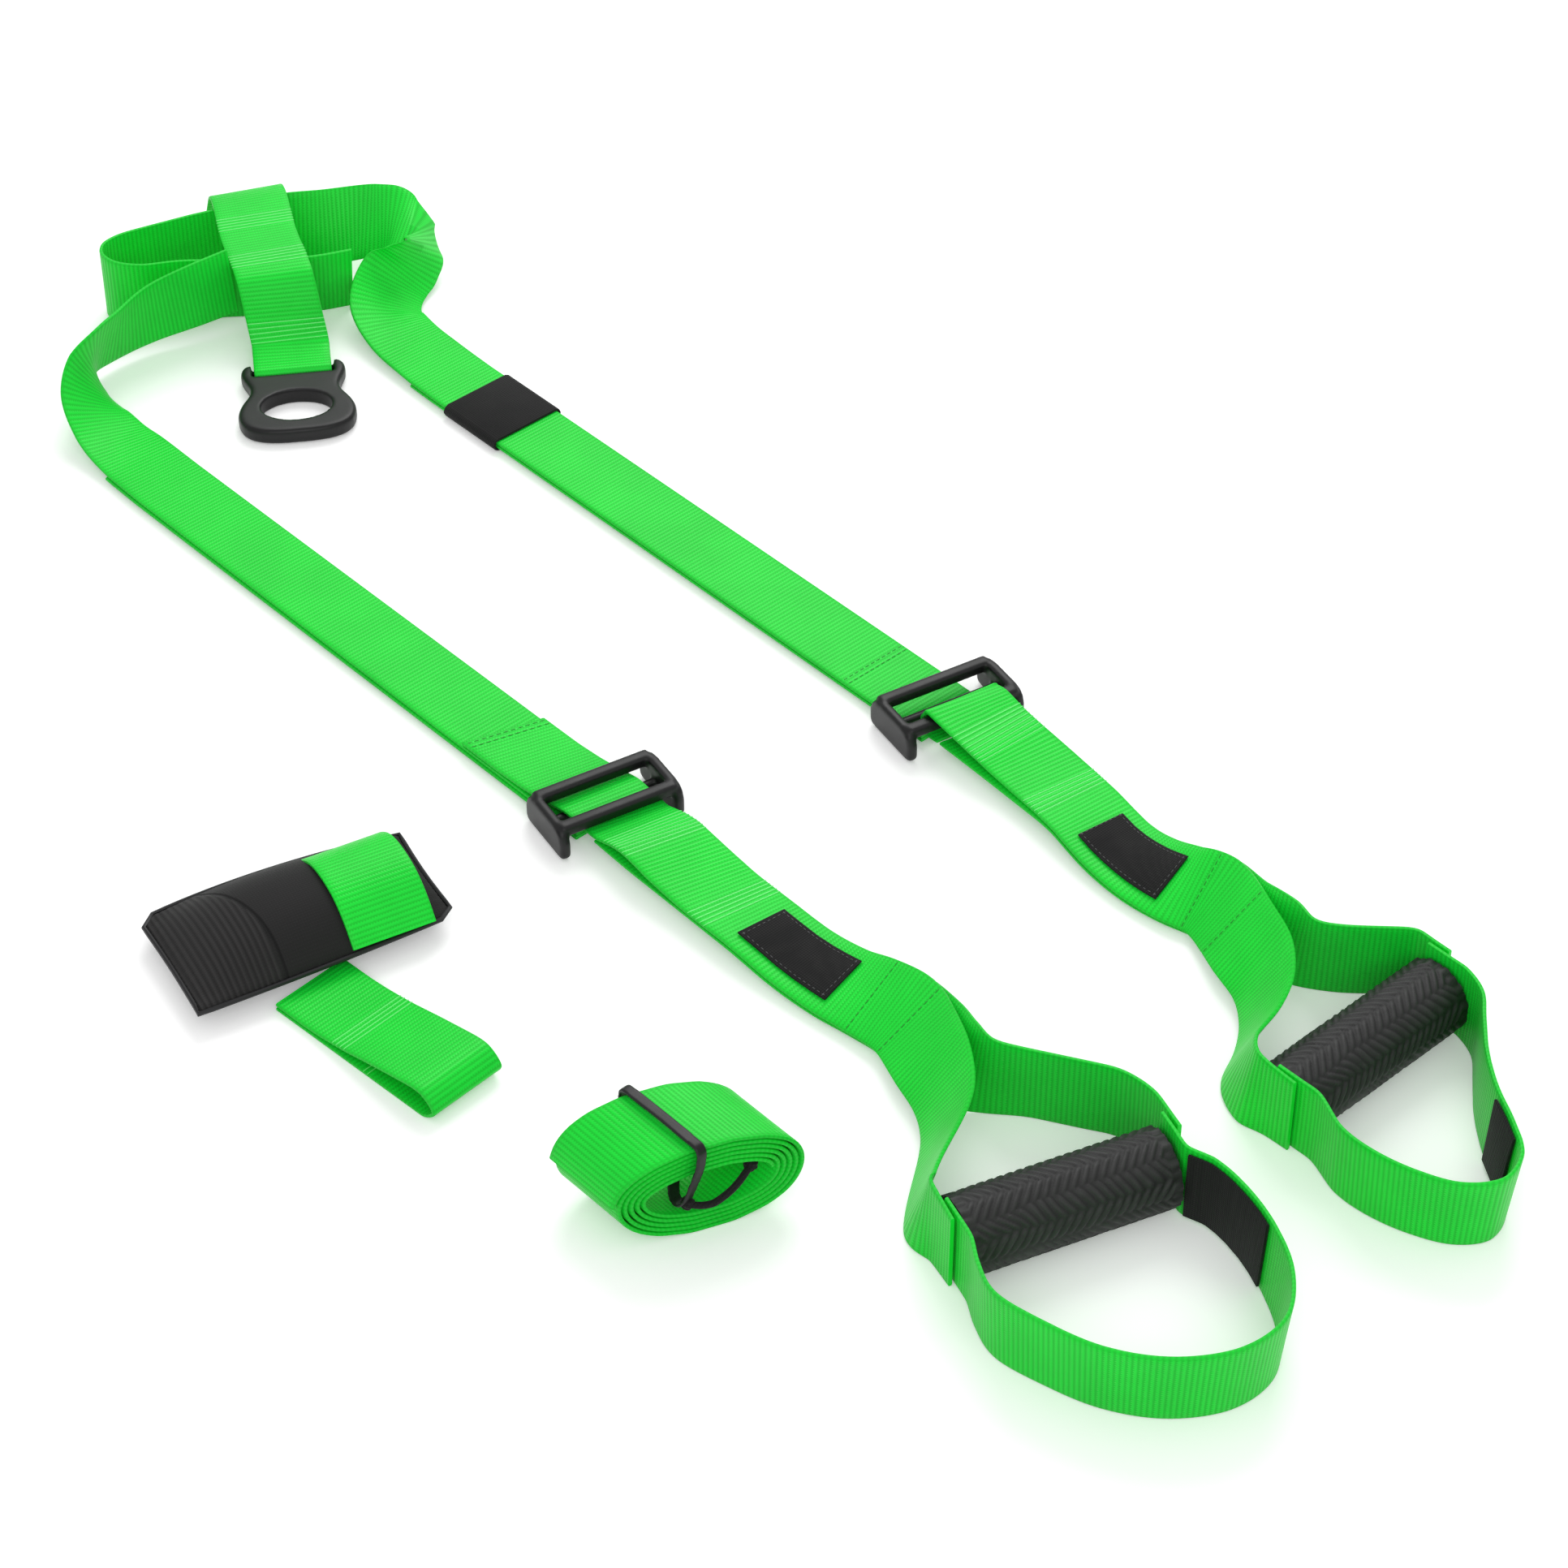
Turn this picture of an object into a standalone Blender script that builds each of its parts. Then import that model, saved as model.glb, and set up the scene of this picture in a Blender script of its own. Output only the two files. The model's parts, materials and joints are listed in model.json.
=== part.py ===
"""Suspension trainer laid out on the floor.

Two doubled webbing legs run from a gathered top, with its anchor strap and
ring, to two adjusters. Each adjuster carries a sewn handle strap that forks
round a foam grip and a foot loop. A door anchor and a rolled extension strap
lie beside the left leg.

Lengths are in metres, +Z is up and the legs run along Y, with the gathered
top towards +Y. Routes are laid from the top of the left leg's straight run
and the finished part is then centred over the floor.
"""

import math
from collections import namedtuple

import bmesh
import bpy
import numpy as np
from mathutils import Matrix, Vector

MM = 0.001

# Webbing, and the gap that lies between touching layers.
WEB_WIDTH = 38.0 * MM
WEB_THICKNESS = 1.8 * MM
LAYER_GAP = 0.3 * MM
CURVE_GAP = 0.5 * MM
FORK_OPENING = 1.4 * MM

# Legs. Each straight run ends at its adjuster.
LEG_SPACING = 154.0 * MM
LEFT_LEG_LENGTH = 322.0 * MM
RIGHT_LEG_LENGTH = 376.0 * MM
LEG_END_PAST_BUCKLE = 4.0 * MM
RETURN_SHIFT = 0.6 * MM

# Keeper sleeve round both layers of the right leg.
KEEPER_LENGTH = 38.5 * MM
KEEPER_WALL = 1.2 * MM
KEEPER_SIDE_CLEARANCE = 0.8 * MM
KEEPER_FROM_LEG_TOP = 67.0 * MM

# Adjuster buckle, the same on both legs.
BUCKLE_OPENING = 51.0 * MM
BUCKLE_FLANGE_LENGTH = 34.0 * MM
BUCKLE_FLANGE_HEIGHT = 16.5 * MM
BUCKLE_FLANGE_THICKNESS = 5.0 * MM
BUCKLE_EDGE_RADIUS = 1.6 * MM
BUCKLE_RAIL_SPACING = 23.0 * MM
BUCKLE_RAIL_DEPTH = 6.5 * MM
BUCKLE_RAIL_HEIGHT = 5.9 * MM
BUCKLE_BAR_DEPTH = 4.4 * MM
BUCKLE_BAR_HEIGHT = 3.4 * MM
BUCKLE_BAR_OFFSET = 2.0 * MM
BUCKLE_RUN_GAP = 0.4 * MM
BUCKLE_OVER_GAP = 0.7 * MM
BUCKLE_WEAVE_GAP = 0.95 * MM
BUCKLE_FLOOR_GAP = 0.5 * MM
BUCKLE_SIDE_OFFSET = 1.0 * MM
BUCKLE_SKEW = math.radians(-12.0)

# Sewn handle straps, from the adjuster's middle to the fork.
LEFT_SEWN_LENGTH = 185.0 * MM
RIGHT_SEWN_LENGTH = 168.0 * MM
LABEL_LENGTH = 49.0 * MM
LABEL_WIDTH = 24.0 * MM
LABEL_THICKNESS = 0.8 * MM
LEFT_LABEL_TO_FORK = 40.0 * MM
RIGHT_LABEL_TO_FORK = 27.0 * MM

# Grips, the tube inside the foam and the webbing core inside the tube.
GRIP_LENGTH = 92.0 * MM
GRIP_RADIUS = 17.0 * MM
GRIP_EDGE_RADIUS = 2.0 * MM
TUBE_RADIUS = 12.3 * MM
TUBE_BORE_RADIUS = 9.8 * MM
TUBE_PROUD = 1.0 * MM
TUBE_FIT_GAP = 0.3 * MM
CORE_WIDTH = 18.0 * MM
CORE_THICKNESS = 3.6 * MM
CORE_END_CLEARANCE = 0.9 * MM
GRIP_END_CLEARANCE = 0.5 * MM
END_PLY_GAP = 1.0 * MM
LEFT_GRIP_HEADING = math.radians(-18.2)
RIGHT_GRIP_HEADING = math.radians(0.0)

# Hook-and-loop pads on the foot loops' inner faces.
LOOP_PAD_WIDTH = 34.0 * MM
LOOP_PAD_THICKNESS = 1.2 * MM

# Anchor ring.
RING_WIDTH = 57.0 * MM
RING_LENGTH = 58.0 * MM
RING_THICKNESS = 8.4 * MM
RING_EDGE_RADIUS = 2.2 * MM
RING_EYE_WIDTH = 35.0 * MM
RING_EYE_DEPTH = 24.0 * MM
RING_RIM = 9.5 * MM
RING_BAR_RADIUS = 2.2 * MM
RING_SLOT_WIDTH = 40.5 * MM
RING_SLOT_DEPTH = 3.6 * MM
ANCHOR_TAIL_LENGTH = 30.0 * MM

# Door anchor.
PAD_LENGTH = 118.0 * MM
PAD_DEPTH = 60.0 * MM
PAD_SEAM_HEIGHT = 10.0 * MM
PAD_CROWN = 17.0 * MM
PAD_FLAT_CUT = 0.5 * MM
BAND_GAP = 0.8 * MM
DOOR_TAIL_LENGTH = 95.0 * MM
DOOR_TAIL_BULGE = 13.0 * MM

# Rolled extension strap and its tie.
ROLL_TURNS = 5.5
ROLL_PITCH = 2.4 * MM
ROLL_HOLLOW_LENGTH = 47.0 * MM
ROLL_HOLLOW_HEIGHT = 20.0 * MM
TIE_WIDTH = 5.0 * MM
TIE_THICKNESS = 1.4 * MM
TIE_GAP = 0.6 * MM

# Fineness of the facets.
ROUTE_SAMPLES = 16
ROUTE_TURN = math.radians(11.0)
ROUTE_TWIST = math.radians(3.0)
ROUTE_SLACK = 0.10 * MM
ROUND_STEPS = 32
PAD_COLUMNS = 18
PAD_ROWS = 12
ROLL_STEPS_PER_TURN = 24
SHARP_ANGLE = math.radians(35.0)
ROUNDED_ANGLE = math.radians(50.0)

# Heights that follow from the sizes above.
LEG_BOTTOM = KEEPER_WALL + 2 * LAYER_GAP
LEG_UPPER_HEIGHT = LEG_BOTTOM + 1.5 * WEB_THICKNESS + LAYER_GAP
LEG_TOP = LEG_BOTTOM + 2 * WEB_THICKNESS + LAYER_GAP
SEWN_HEIGHT = LEG_TOP + LAYER_GAP + WEB_THICKNESS / 2
BAR_BOTTOM = LEG_TOP + BUCKLE_RUN_GAP
BAR_TOP = BAR_BOTTOM + BUCKLE_BAR_HEIGHT
RAIL_BOTTOM = BAR_TOP + WEB_THICKNESS
RAIL_TOP = RAIL_BOTTOM + BUCKLE_RAIL_HEIGHT
OVER_BAR_HEIGHT = BAR_TOP + BUCKLE_OVER_GAP + WEB_THICKNESS / 2
UNDER_RAIL_HEIGHT = RAIL_BOTTOM - BUCKLE_WEAVE_GAP - WEB_THICKNESS / 2
OVER_RAIL_HEIGHT = RAIL_TOP + BUCKLE_RUN_GAP + WEB_THICKNESS / 2

# Adjusters and grips, from the top of the left leg.
LEFT_BUCKLE = Vector((0, -LEFT_LEG_LENGTH, 0))
RIGHT_BUCKLE = Vector((LEG_SPACING, -RIGHT_LEG_LENGTH, 0))
GRIP_END_PLY = GRIP_LENGTH / 2 + TUBE_PROUD + GRIP_END_CLEARANCE + WEB_THICKNESS / 2
GRIP_OUTER_PLY = GRIP_END_PLY + WEB_THICKNESS + END_PLY_GAP

# Gathered top. Columns: x in leg spacings, y and z in webbing widths, lean of
# the webbing in degrees (0 flat, 90 on edge) and, where it isn't square to
# the route, the compass direction in degrees of its width.
LEFT_TOP_SHARES = (
    (0.006, 0.66, 0.126, 2, None),
    (0.014, 1.18, 0.17, 14, None),
    (0.034, 1.64, 0.32, 36, None),
    (0.086, 2.00, 0.47, 70, None),
    (0.158, 2.23, 0.60, 106, None),
    (0.266, 2.34, 0.61, 106, None),
    (0.396, 2.36, 0.66, 98, None),
    (0.540, 2.24, 0.72, 92, None),
    (0.677, 2.132, 0.76, 90, None),
)
RIGHT_TOP_SHARES = (
    (1.000, -0.90, 0.126, 0, 180),
    (1.006, -0.26, 0.126, 0, 180),
    (1.020, 0.40, 0.15, 4, 175),
    (1.057, 0.90, 0.23, 18, 150),
    (1.140, 1.18, 0.34, 34, 140),
    (1.227, 1.20, 0.49, 43, 165),
    (1.282, 1.24, 0.61, 40, 196),
    (1.316, 1.46, 0.70, 22, 207),
)
FRONT_WALL_SHARES = (
    (1.030, 1.448, 0.503, 80, None),
    (0.925, 1.64, 0.503, 80, None),
    (0.799, 1.98, 0.503, 80, None),
    (0.688, 2.36, 0.503, 82, None),
    (0.578, 2.70, 0.503, 86, None),
    (0.468, 2.96, 0.50, 88, None),
    (0.416, 3.24, 0.50, 90, None),
    (0.416, 3.50, 0.50, 90, None),
    (0.449, 3.66, 0.50, 90, None),
    (0.514, 3.70, 0.50, 90, None),
    (0.630, 3.58, 0.50, 90, None),
    (0.7615, 3.427, 0.50, 90, None),
)
BACK_WALL_SHARES = (
    (0.765, 3.42, 0.50, 90, None),
    (0.891, 3.22, 0.50, 90, None),
    (1.020, 2.99, 0.50, 76, None),
    (1.150, 2.62, 0.49, 60, 52),
    (1.253, 2.24, 0.58, 49, 40),
    (1.292, 1.95, 0.68, 32, 43),
    (1.304, 1.58, 0.735, 8, 40),
)
ANCHOR_STRAP_SHARES = (
    (0.995, 3.62, 0.62, 0, -24),
    (0.985, 3.47, 0.93, 0, -24),
    (0.955, 3.22, 1.035, 0, -24),
    (0.841, 2.39, 1.035, 0, -25),
    (0.775, 1.80, 1.035, 0, -27),
    (0.747, 1.55, 0.97, 0, -30),
    (0.731, 1.38, 0.74, 0, -34),
    (0.720, 1.24, 0.47, 0, -34),
    (0.702, 1.07, 0.26, 0, -34),
)

# Sewn straps. Columns: x along the leg's right in webbing widths, y towards
# the gathered top in webbing widths, height in webbing widths above a strap
# that lies on the leg, lean and width direction in degrees.
LEFT_TAIL_SHARES = (
    (0.00, 1.79, 0.00, 0, -17),
    (0.00, 1.16, 0.00, 0, -15),
    (0.01, 0.62, 0.03, 0, -12),
)
LEFT_ARCH_SHARES = (
    (0.00, -0.48, 0.085, 0, -12),
    (0.00, -0.80, 0.17, 0, -12),
    (-0.03, -1.06, 0.22, 0, -14),
    (-0.04, -1.50, 0.15, 0, -16),
    (-0.04, -2.05, 0.08, 0, -12),
    (-0.04, -2.75, 0.065, 0, -6),
)
RIGHT_ARCH_SHARES = (
    (0.00, -0.84, 0.22, 0, 0),
    (0.00, -1.29, 0.13, 0, -8),
    (-0.03, -1.81, 0.075, 0, -10),
    (-0.10, -2.34, 0.065, 0, -4),
)
# The run up to the fork, with y from the fork and height from the floor.
LEFT_FORK_SHARES = (
    (-0.03, 1.50, 0.20, 4, 0),
    (0.00, 0.92, 0.23, 12, 3),
    (0.03, 0.45, 0.32, 24, 3),
)
RIGHT_FORK_SHARES = (
    (-0.22, 1.42, 0.20, 3, 0),
    (-0.27, 0.90, 0.24, 12, 3),
    (-0.27, 0.42, 0.33, 26, 3),
)

# Branches and foot loops. Columns: along the grip and from the grip towards
# the fork, in grip lengths, height in webbing widths, lean and width
# direction in degrees, the last from the grip's own direction.
LEFT_GRIP_FROM_FORK_SHARES = (-0.293, -1.293)
LEFT_UPPER_BRANCH_SHARES = (
    (-0.11, 1.29, 0.42, 34, 13),
    (-0.13, 1.04, 0.50, 42, -7),
    (-0.16, 0.81, 0.55, 50, -44),
    (-0.23, 0.62, 0.54, 54, -62),
)
LEFT_UPPER_END_SHARES = (
    (0.21, 0.48, 74),
    (0.07, 0.50, 88),
    (-0.09, 0.50, 90),
)
LEFT_LOWER_BRANCH_SHARES = (
    (-0.06, 1.08, 0.43, 44, 12),
    (-0.03, 0.90, 0.49, 59, None),
    (0.05, 0.77, 0.50, 83, None),
    (0.19, 0.66, 0.50, 90, None),
    (0.35, 0.52, 0.50, 90, None),
    (0.49, 0.39, 0.50, 91, None),
)
LEFT_LOWER_END_SHARES = (
    (0.23, 0.50, 91),
    (0.12, 0.50, 90),
    (0.00, 0.50, 90),
)
LEFT_LOOP_SHARES = (
    (-0.56, -0.33, 0.50, 91, None),
    (-0.57, -0.51, 0.50, 93, None),
    (-0.46, -0.73, 0.50, 94, None),
    (-0.29, -0.96, 0.50, 95, None),
    (-0.06, -1.12, 0.50, 95, None),
    (0.21, -1.18, 0.50, 95, None),
    (0.43, -1.11, 0.50, 95, None),
    (0.57, -0.92, 0.50, 94, None),
    (0.63, -0.69, 0.50, 93, None),
    (0.64, -0.45, 0.50, 91, None),
    (0.60, -0.24, 0.50, 90, None),
)
RIGHT_GRIP_FROM_FORK_SHARES = (-0.337, -1.136)
RIGHT_UPPER_BRANCH_SHARES = (
    (0.24, 1.12, 0.42, 40, -5),
    (0.10, 0.80, 0.53, 46, -30),
    (0.01, 0.60, 0.55, 52, -56),
    (-0.13, 0.45, 0.55, 58, -68),
    (-0.29, 0.36, 0.53, 64, -64),
    (-0.46, 0.30, 0.50, 70, -58),
)
RIGHT_UPPER_END_SHARES = (
    (0.17, 0.50, 80),
    (0.05, 0.50, 88),
    (-0.09, 0.50, 90),
)
RIGHT_LOWER_BRANCH_SHARES = (
    (0.215, 0.89, 0.45, 45, 6),
    (0.24, 0.68, 0.50, 69, None),
    (0.26, 0.54, 0.50, 88, None),
    (0.34, 0.42, 0.50, 90, None),
    (0.45, 0.31, 0.50, 90, None),
)
RIGHT_LOWER_END_SHARES = (
    (0.19, 0.50, 91),
    (0.10, 0.50, 90),
    (0.00, 0.50, 90),
)
RIGHT_LOOP_SHARES = (
    (-0.60, -0.40, 0.50, 92, None),
    (-0.60, -0.58, 0.50, 93, None),
    (-0.55, -0.78, 0.50, 94, None),
    (-0.46, -0.95, 0.50, 95, None),
    (-0.32, -1.04, 0.50, 95, None),
    (-0.17, -1.00, 0.50, 95, None),
    (-0.06, -0.87, 0.50, 94, None),
    (0.06, -0.68, 0.50, 92, None),
    (0.20, -0.51, 0.50, 91, None),
    (0.34, -0.38, 0.50, 90, None),
    (0.47, -0.26, 0.50, 90, None),
)
LOOP_START_SHARES = (
    (0.03, 0.50, 90),
    (-0.09, 0.50, 90),
    (-0.20, 0.50, 90),
)
LOOP_END_SHARES = (
    (-0.12, 0.50, 90),
    (-0.02, 0.50, 90),
    (0.10, 0.50, 90),
)
# Where each hook-and-loop pad starts and stops along its foot loop.
LEFT_PAD_REACH_SHARES = (0.755, 0.922)
RIGHT_PAD_REACH_SHARES = (0.53, 0.62)

# Anchor ring: half width and distance from the slot bar, in shares of the
# ring's width and length, down one side.
RING_OUTLINE_SHARES = (
    (0.34, -0.08),
    (0.41, -0.06),
    (0.445, 0.00),
    (0.445, 0.08),
    (0.41, 0.18),
    (0.385, 0.27),
    (0.40, 0.36),
    (0.455, 0.46),
    (0.495, 0.57),
    (0.50, 0.67),
    (0.465, 0.78),
    (0.38, 0.86),
    (0.25, 0.905),
    (0.10, 0.92),
)
RING_PLACE_SHARES = (0.641, 0.71)
RING_HEADING = math.radians(-124.0)

# Flange of the adjuster: along the leg and up, in shares of its own sizes.
FLANGE_OUTLINE_SHARES = (
    (-0.50, 0.12),
    (-0.47, 0.02),
    (-0.38, 0.00),
    (0.36, 0.00),
    (0.45, 0.03),
    (0.50, 0.16),
    (0.50, 0.55),
    (0.46, 0.78),
    (0.36, 0.94),
    (0.22, 1.00),
    (-0.26, 1.00),
    (-0.38, 0.95),
    (-0.46, 0.80),
    (-0.50, 0.55),
)

# Door anchor: places from the left adjuster in webbing widths.
PAD_PLACE_SHARES = (-3.766, 0.772)
PAD_HEADING = math.radians(-13.6)
PAD_TAPER_SHARE = 0.06
PAD_DRAW_SHARE = 0.05
PAD_SIDE_POWER = 2.4
PAD_BOTTOM_POWER = 3.0
BAND_ALONG_PAD_SHARE = 0.26
BAND_HEADING = math.radians(-104.0)
DOOR_TAIL_PLACE_SHARES = (-4.176, 0.06)
DOOR_TAIL_HEADING = math.radians(-86.0)
# The tail loop's middle line, out and back, in shares of its length and bulge.
DOOR_TAIL_OUT_SHARES = (0.35, 0.75)
DOOR_TAIL_BACK_SHARES = ((0.72, 0.85), (0.42, 0.42))
DOOR_TAIL_SEWN_SHARE = 0.20

# Roll: its place from the left adjuster in webbing widths.
ROLL_PLACE_SHARES = (-3.29, -5.03)
ROLL_HEADING = math.radians(0.0)
ROLL_SHEAR_SHARE = -0.38
# The tie: along the webbing's width, along the roll and up, in shares of the
# webbing width, the roll's length and the roll's height.
TIE_SHARES = (
    (0.62, -0.08, 0.60),
    (0.62, -0.08, 0.88),
    (0.58, -0.08, 1.035),
    (0.38, -0.08, 1.055),
    (-0.38, -0.08, 1.055),
    (-0.58, -0.08, 1.035),
    (-0.62, -0.09, 0.88),
    (-0.62, -0.13, 0.66),
    (-0.61, -0.17, 0.48),
    (-0.54, -0.18, 0.42),
    (-0.40, -0.16, 0.41),
    (-0.10, -0.06, 0.41),
    (0.30, 0.08, 0.42),
)

GREEN = ("webbing_green", (0.03, 0.62, 0.08), 0.62, 0.0)
BLACK_PLASTIC = ("moulded_black", (0.012, 0.012, 0.013), 0.38, 0.0)
BLACK_FOAM = ("foam_black", (0.018, 0.018, 0.019), 0.72, 0.0)
BLACK_FABRIC = ("fabric_black", (0.014, 0.014, 0.015), 0.85, 0.0)
GREY_TUBE = ("tube_grey", (0.20, 0.20, 0.21), 0.45, 0.0)

Knot = namedtuple("Knot", "point lean azimuth width slanted gathered")
Station = namedtuple("Station", "point tangent width normal skew reach")


def knot(point, lean, azimuth=None, width=None, slanted=False, gathered=False):
    """One point of a route, with the webbing's attitude there.

    A slanted knot keeps its cross line where it is and shears the webbing. A
    gathered one also draws the webbing in, so the cross line isn't longer.
    """
    return Knot(Vector(point), lean, azimuth, width, slanted or gathered, gathered)


def spline_point(points, times, time):
    """Centripetal Catmull-Rom point between the second and third of four."""
    level = list(points)
    for order in range(1, len(points)):
        level = [
            level[i].lerp(level[i + 1], (time - times[i + shift]) / (times[i + span + shift] - times[i + shift]))
            for i, shift, span in spans(order, len(level) - 1)
        ]
    return level[0]


def spans(order, count):
    """Index, time shift and time span for one level of the spline pyramid."""
    if order == 1:
        return [(i, 0, 1) for i in range(count)]
    if order == 2:
        return [(i, 0, 2) for i in range(count)]
    return [(0, 1, 1)]


def sample_curve(points, samples):
    """Points of a smooth curve through the given points, ends included."""
    ghost = [2 * points[0] - points[1]] + list(points) + [2 * points[-1] - points[-2]]
    curve = []
    for i in range(1, len(points)):
        four = ghost[i - 1:i + 3]
        times = [0.0]
        for a, b in zip(four, four[1:]):
            times.append(times[-1] + math.sqrt((b - a).length))
        for step in range(samples):
            time = times[1] + (times[2] - times[1]) * step / samples
            curve.append(spline_point(four, times, time))
    curve.append(points[-1].copy())
    return curve


def cross_line(tangent, item):
    """Direction in which the webbing's width is meant to lie at a knot."""
    if item.width is not None:
        width = item.width.copy()
    else:
        if item.azimuth is None:
            side = Vector((-tangent.y, tangent.x, 0)).normalized()
        else:
            angle = math.radians(item.azimuth)
            side = Vector((math.cos(angle), math.sin(angle), 0))
        lean = math.radians(item.lean)
        width = side * math.cos(lean) + Vector((0, 0, 1)) * math.sin(lean)
    return width


def width_and_skew(tangent, item):
    """Width direction square to the route, its slant and its share of the width."""
    cross = cross_line(tangent, item)
    along = tangent.dot(cross)
    square = cross - tangent * along
    skew = along / square.length if item.slanted else 0
    reach = 1 / math.sqrt(1 + skew * skew) if item.gathered else 1
    return square.normalized(), skew, reach


def lay_route(knots, samples=ROUTE_SAMPLES):
    """Stations of the webbing along a smooth curve through the knots."""
    curve = sample_curve([item.point for item in knots], samples)
    last = len(curve) - 1
    tangents = [(curve[min(i + 1, last)] - curve[max(i - 1, 0)]).normalized() for i in range(last + 1)]
    placed = [width_and_skew(tangents[i * samples], item) for i, item in enumerate(knots)]
    turns = [item[0] for item in placed]
    turns = [turns[0]] + turns + [turns[-1]]
    stations = []
    for i in range(last + 1):
        leg = min(i // samples, len(knots) - 2)
        s = i / samples - leg
        a, b, c, d = turns[leg:leg + 4]
        width = (2 * b + (c - a) * s + (2 * a - 5 * b + 4 * c - d) * s * s
                 + (3 * b - a - 3 * c + d) * s * s * s)
        width = (width - tangents[i] * width.dot(tangents[i])).normalized()
        skew, reach = (placed[leg][k] + (placed[leg + 1][k] - placed[leg][k]) * s for k in (1, 2))
        stations.append(Station(curve[i], tangents[i], width, tangents[i].cross(width), skew, reach))
    return stations


def thin(stations, marks=()):
    """Indices of the stations where the webbing has turned, and of any marks."""
    kept = [0]
    for i in range(1, len(stations) - 1):
        last, following = stations[kept[-1]], stations[i + 1]
        turned = last.tangent.angle(following.tangent, 0)
        twisted = abs(last.normal.dot(following.width + following.tangent * following.skew))
        slanted = abs(last.skew - following.skew)
        strayed = max(stray(stations[j].point, last.point, following.point) for j in range(kept[-1] + 1, i + 1))
        bent = max(turned, slanted) > ROUTE_TURN or twisted > ROUTE_TWIST or strayed > ROUTE_SLACK
        if i in marks or bent:
            kept.append(i)
    kept.append(len(stations) - 1)
    return kept


def stray(point, start, stop):
    """Distance of a point from the chord between two others."""
    chord = (stop - start).normalized()
    aside = point - start
    return (aside - chord * aside.dot(chord)).length


def pick(stations, indices, start=0, stop=math.inf):
    """The chosen stations between two indices."""
    return [stations[i] for i in indices if start <= i <= stop]


def index_at(stations, distance):
    """Index of the first station at a distance along the route."""
    reach = 0
    for i in range(1, len(stations)):
        reach += (stations[i].point - stations[i - 1].point).length
        if reach >= distance:
            return i
    return len(stations) - 1


def lift_to_floor(stations, width, thickness):
    """Raise what a smooth curve dips below the floor."""
    raised = []
    for item in stations:
        reach = abs(item.width.z) * width / 2 + abs(item.normal.z) * thickness / 2
        lift = max(0, reach - item.point.z)
        raised.append(item._replace(point=item.point + Vector((0, 0, lift))))
    return raised


def offset(stations, distance, shift=0):
    """The same stations moved along the webbing's normal and its width."""
    return [item._replace(point=item.point + item.normal * distance + item.width * shift) for item in stations]


def travelled(stations):
    """Length of a route."""
    return sum((b.point - a.point).length for a, b in zip(stations, stations[1:]))


def section(item, width, thickness):
    """The four corners of the webbing's cross-section at a station."""
    half_width = (item.width + item.tangent * item.skew) * item.reach * width / 2
    half_thickness = item.normal * thickness / 2
    return [
        item.point - half_width - half_thickness,
        item.point + half_width - half_thickness,
        item.point + half_width + half_thickness,
        item.point - half_width + half_thickness,
    ]


# Corners that a diagonal joins on each side of a strip's cell, so that layers
# which twist together stay parallel.
def sweep(stations, width=WEB_WIDTH, thickness=WEB_THICKNESS):
    """A flat section extruded from station to station into one closed strip."""
    strip = bmesh.new()
    corners = section(stations[0], width, thickness)
    ring = [strip.verts.new(corner) for corner in corners]
    strip.faces.new(ring)
    for item in stations[1:]:
        edges = [strip.edges.get(pair) or strip.edges.new(pair) for pair in zip(ring, ring[1:] + ring[:1])]
        grown = bmesh.ops.extrude_edge_only(strip, edges=edges)["geom"]
        fresh = [piece for piece in grown if isinstance(piece, bmesh.types.BMVert)]
        last = ring
        ring = [fresh[nearest(corner, [vert.co for vert in fresh])] for corner in corners]
        corners = section(item, width, thickness)
        for vert, corner in zip(ring, corners):
            vert.co = corner
        for start, stop in ((0, 1), (1, 2), (3, 2), (3, 0)):
            bmesh.ops.connect_vert_pair(strip, verts=[last[start], ring[stop]])
    strip.faces.new(ring)
    return strip


def nearest(point, places):
    """Index of the place that lies nearest to the point."""
    gaps = [(point - place).length for place in places]
    return gaps.index(min(gaps))


def finish_material(look):
    """The piece's own material."""
    name, colour, roughness, metallic = look
    material = bpy.data.materials.new(name)
    material.use_nodes = True
    shader = material.node_tree.nodes["Principled BSDF"]
    shader.inputs["Base Color"].default_value = (*colour, 1)
    shader.inputs["Roughness"].default_value = roughness
    shader.inputs["Metallic"].default_value = metallic
    return material


def add_piece(name, body, look, parent, origin=None):
    """Make a named object from a mesh in the layout's own coordinates."""
    pivot = Vector(origin) if origin is not None else parent_place(parent)
    bmesh.ops.recalc_face_normals(body, faces=body.faces)
    bmesh.ops.translate(body, verts=body.verts, vec=-pivot)
    mesh = bpy.data.meshes.new(name)
    body.to_mesh(mesh)
    body.free()
    mesh.shade_smooth()
    mesh.set_sharp_from_angle(angle=SHARP_ANGLE)
    mesh.materials.append(finish_material(look))
    piece = bpy.data.objects.new(name, mesh)
    bpy.context.collection.objects.link(piece)
    piece.parent = parent
    piece.location = pivot - parent_place(parent)
    return piece


def parent_place(parent):
    """Where an empty stands in the layout."""
    place = Vector((0, 0, 0))
    while parent is not None:
        place += parent.location
        parent = parent.parent
    return place


def add_empty(name, place, parent=None):
    """An empty that carries the pieces of one moving body."""
    empty = bpy.data.objects.new(name, None)
    bpy.context.collection.objects.link(empty)
    empty.parent = parent
    empty.location = Vector(place) - parent_place(parent)
    return empty


def add_cutter(name, body, parent, origin=None):
    """A guide mesh for a Boolean, which isn't a piece itself."""
    cutter = add_piece(name, body, BLACK_PLASTIC, parent, origin)
    cutter.hide_render = True
    cutter.display_type = "WIRE"
    return cutter


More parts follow.
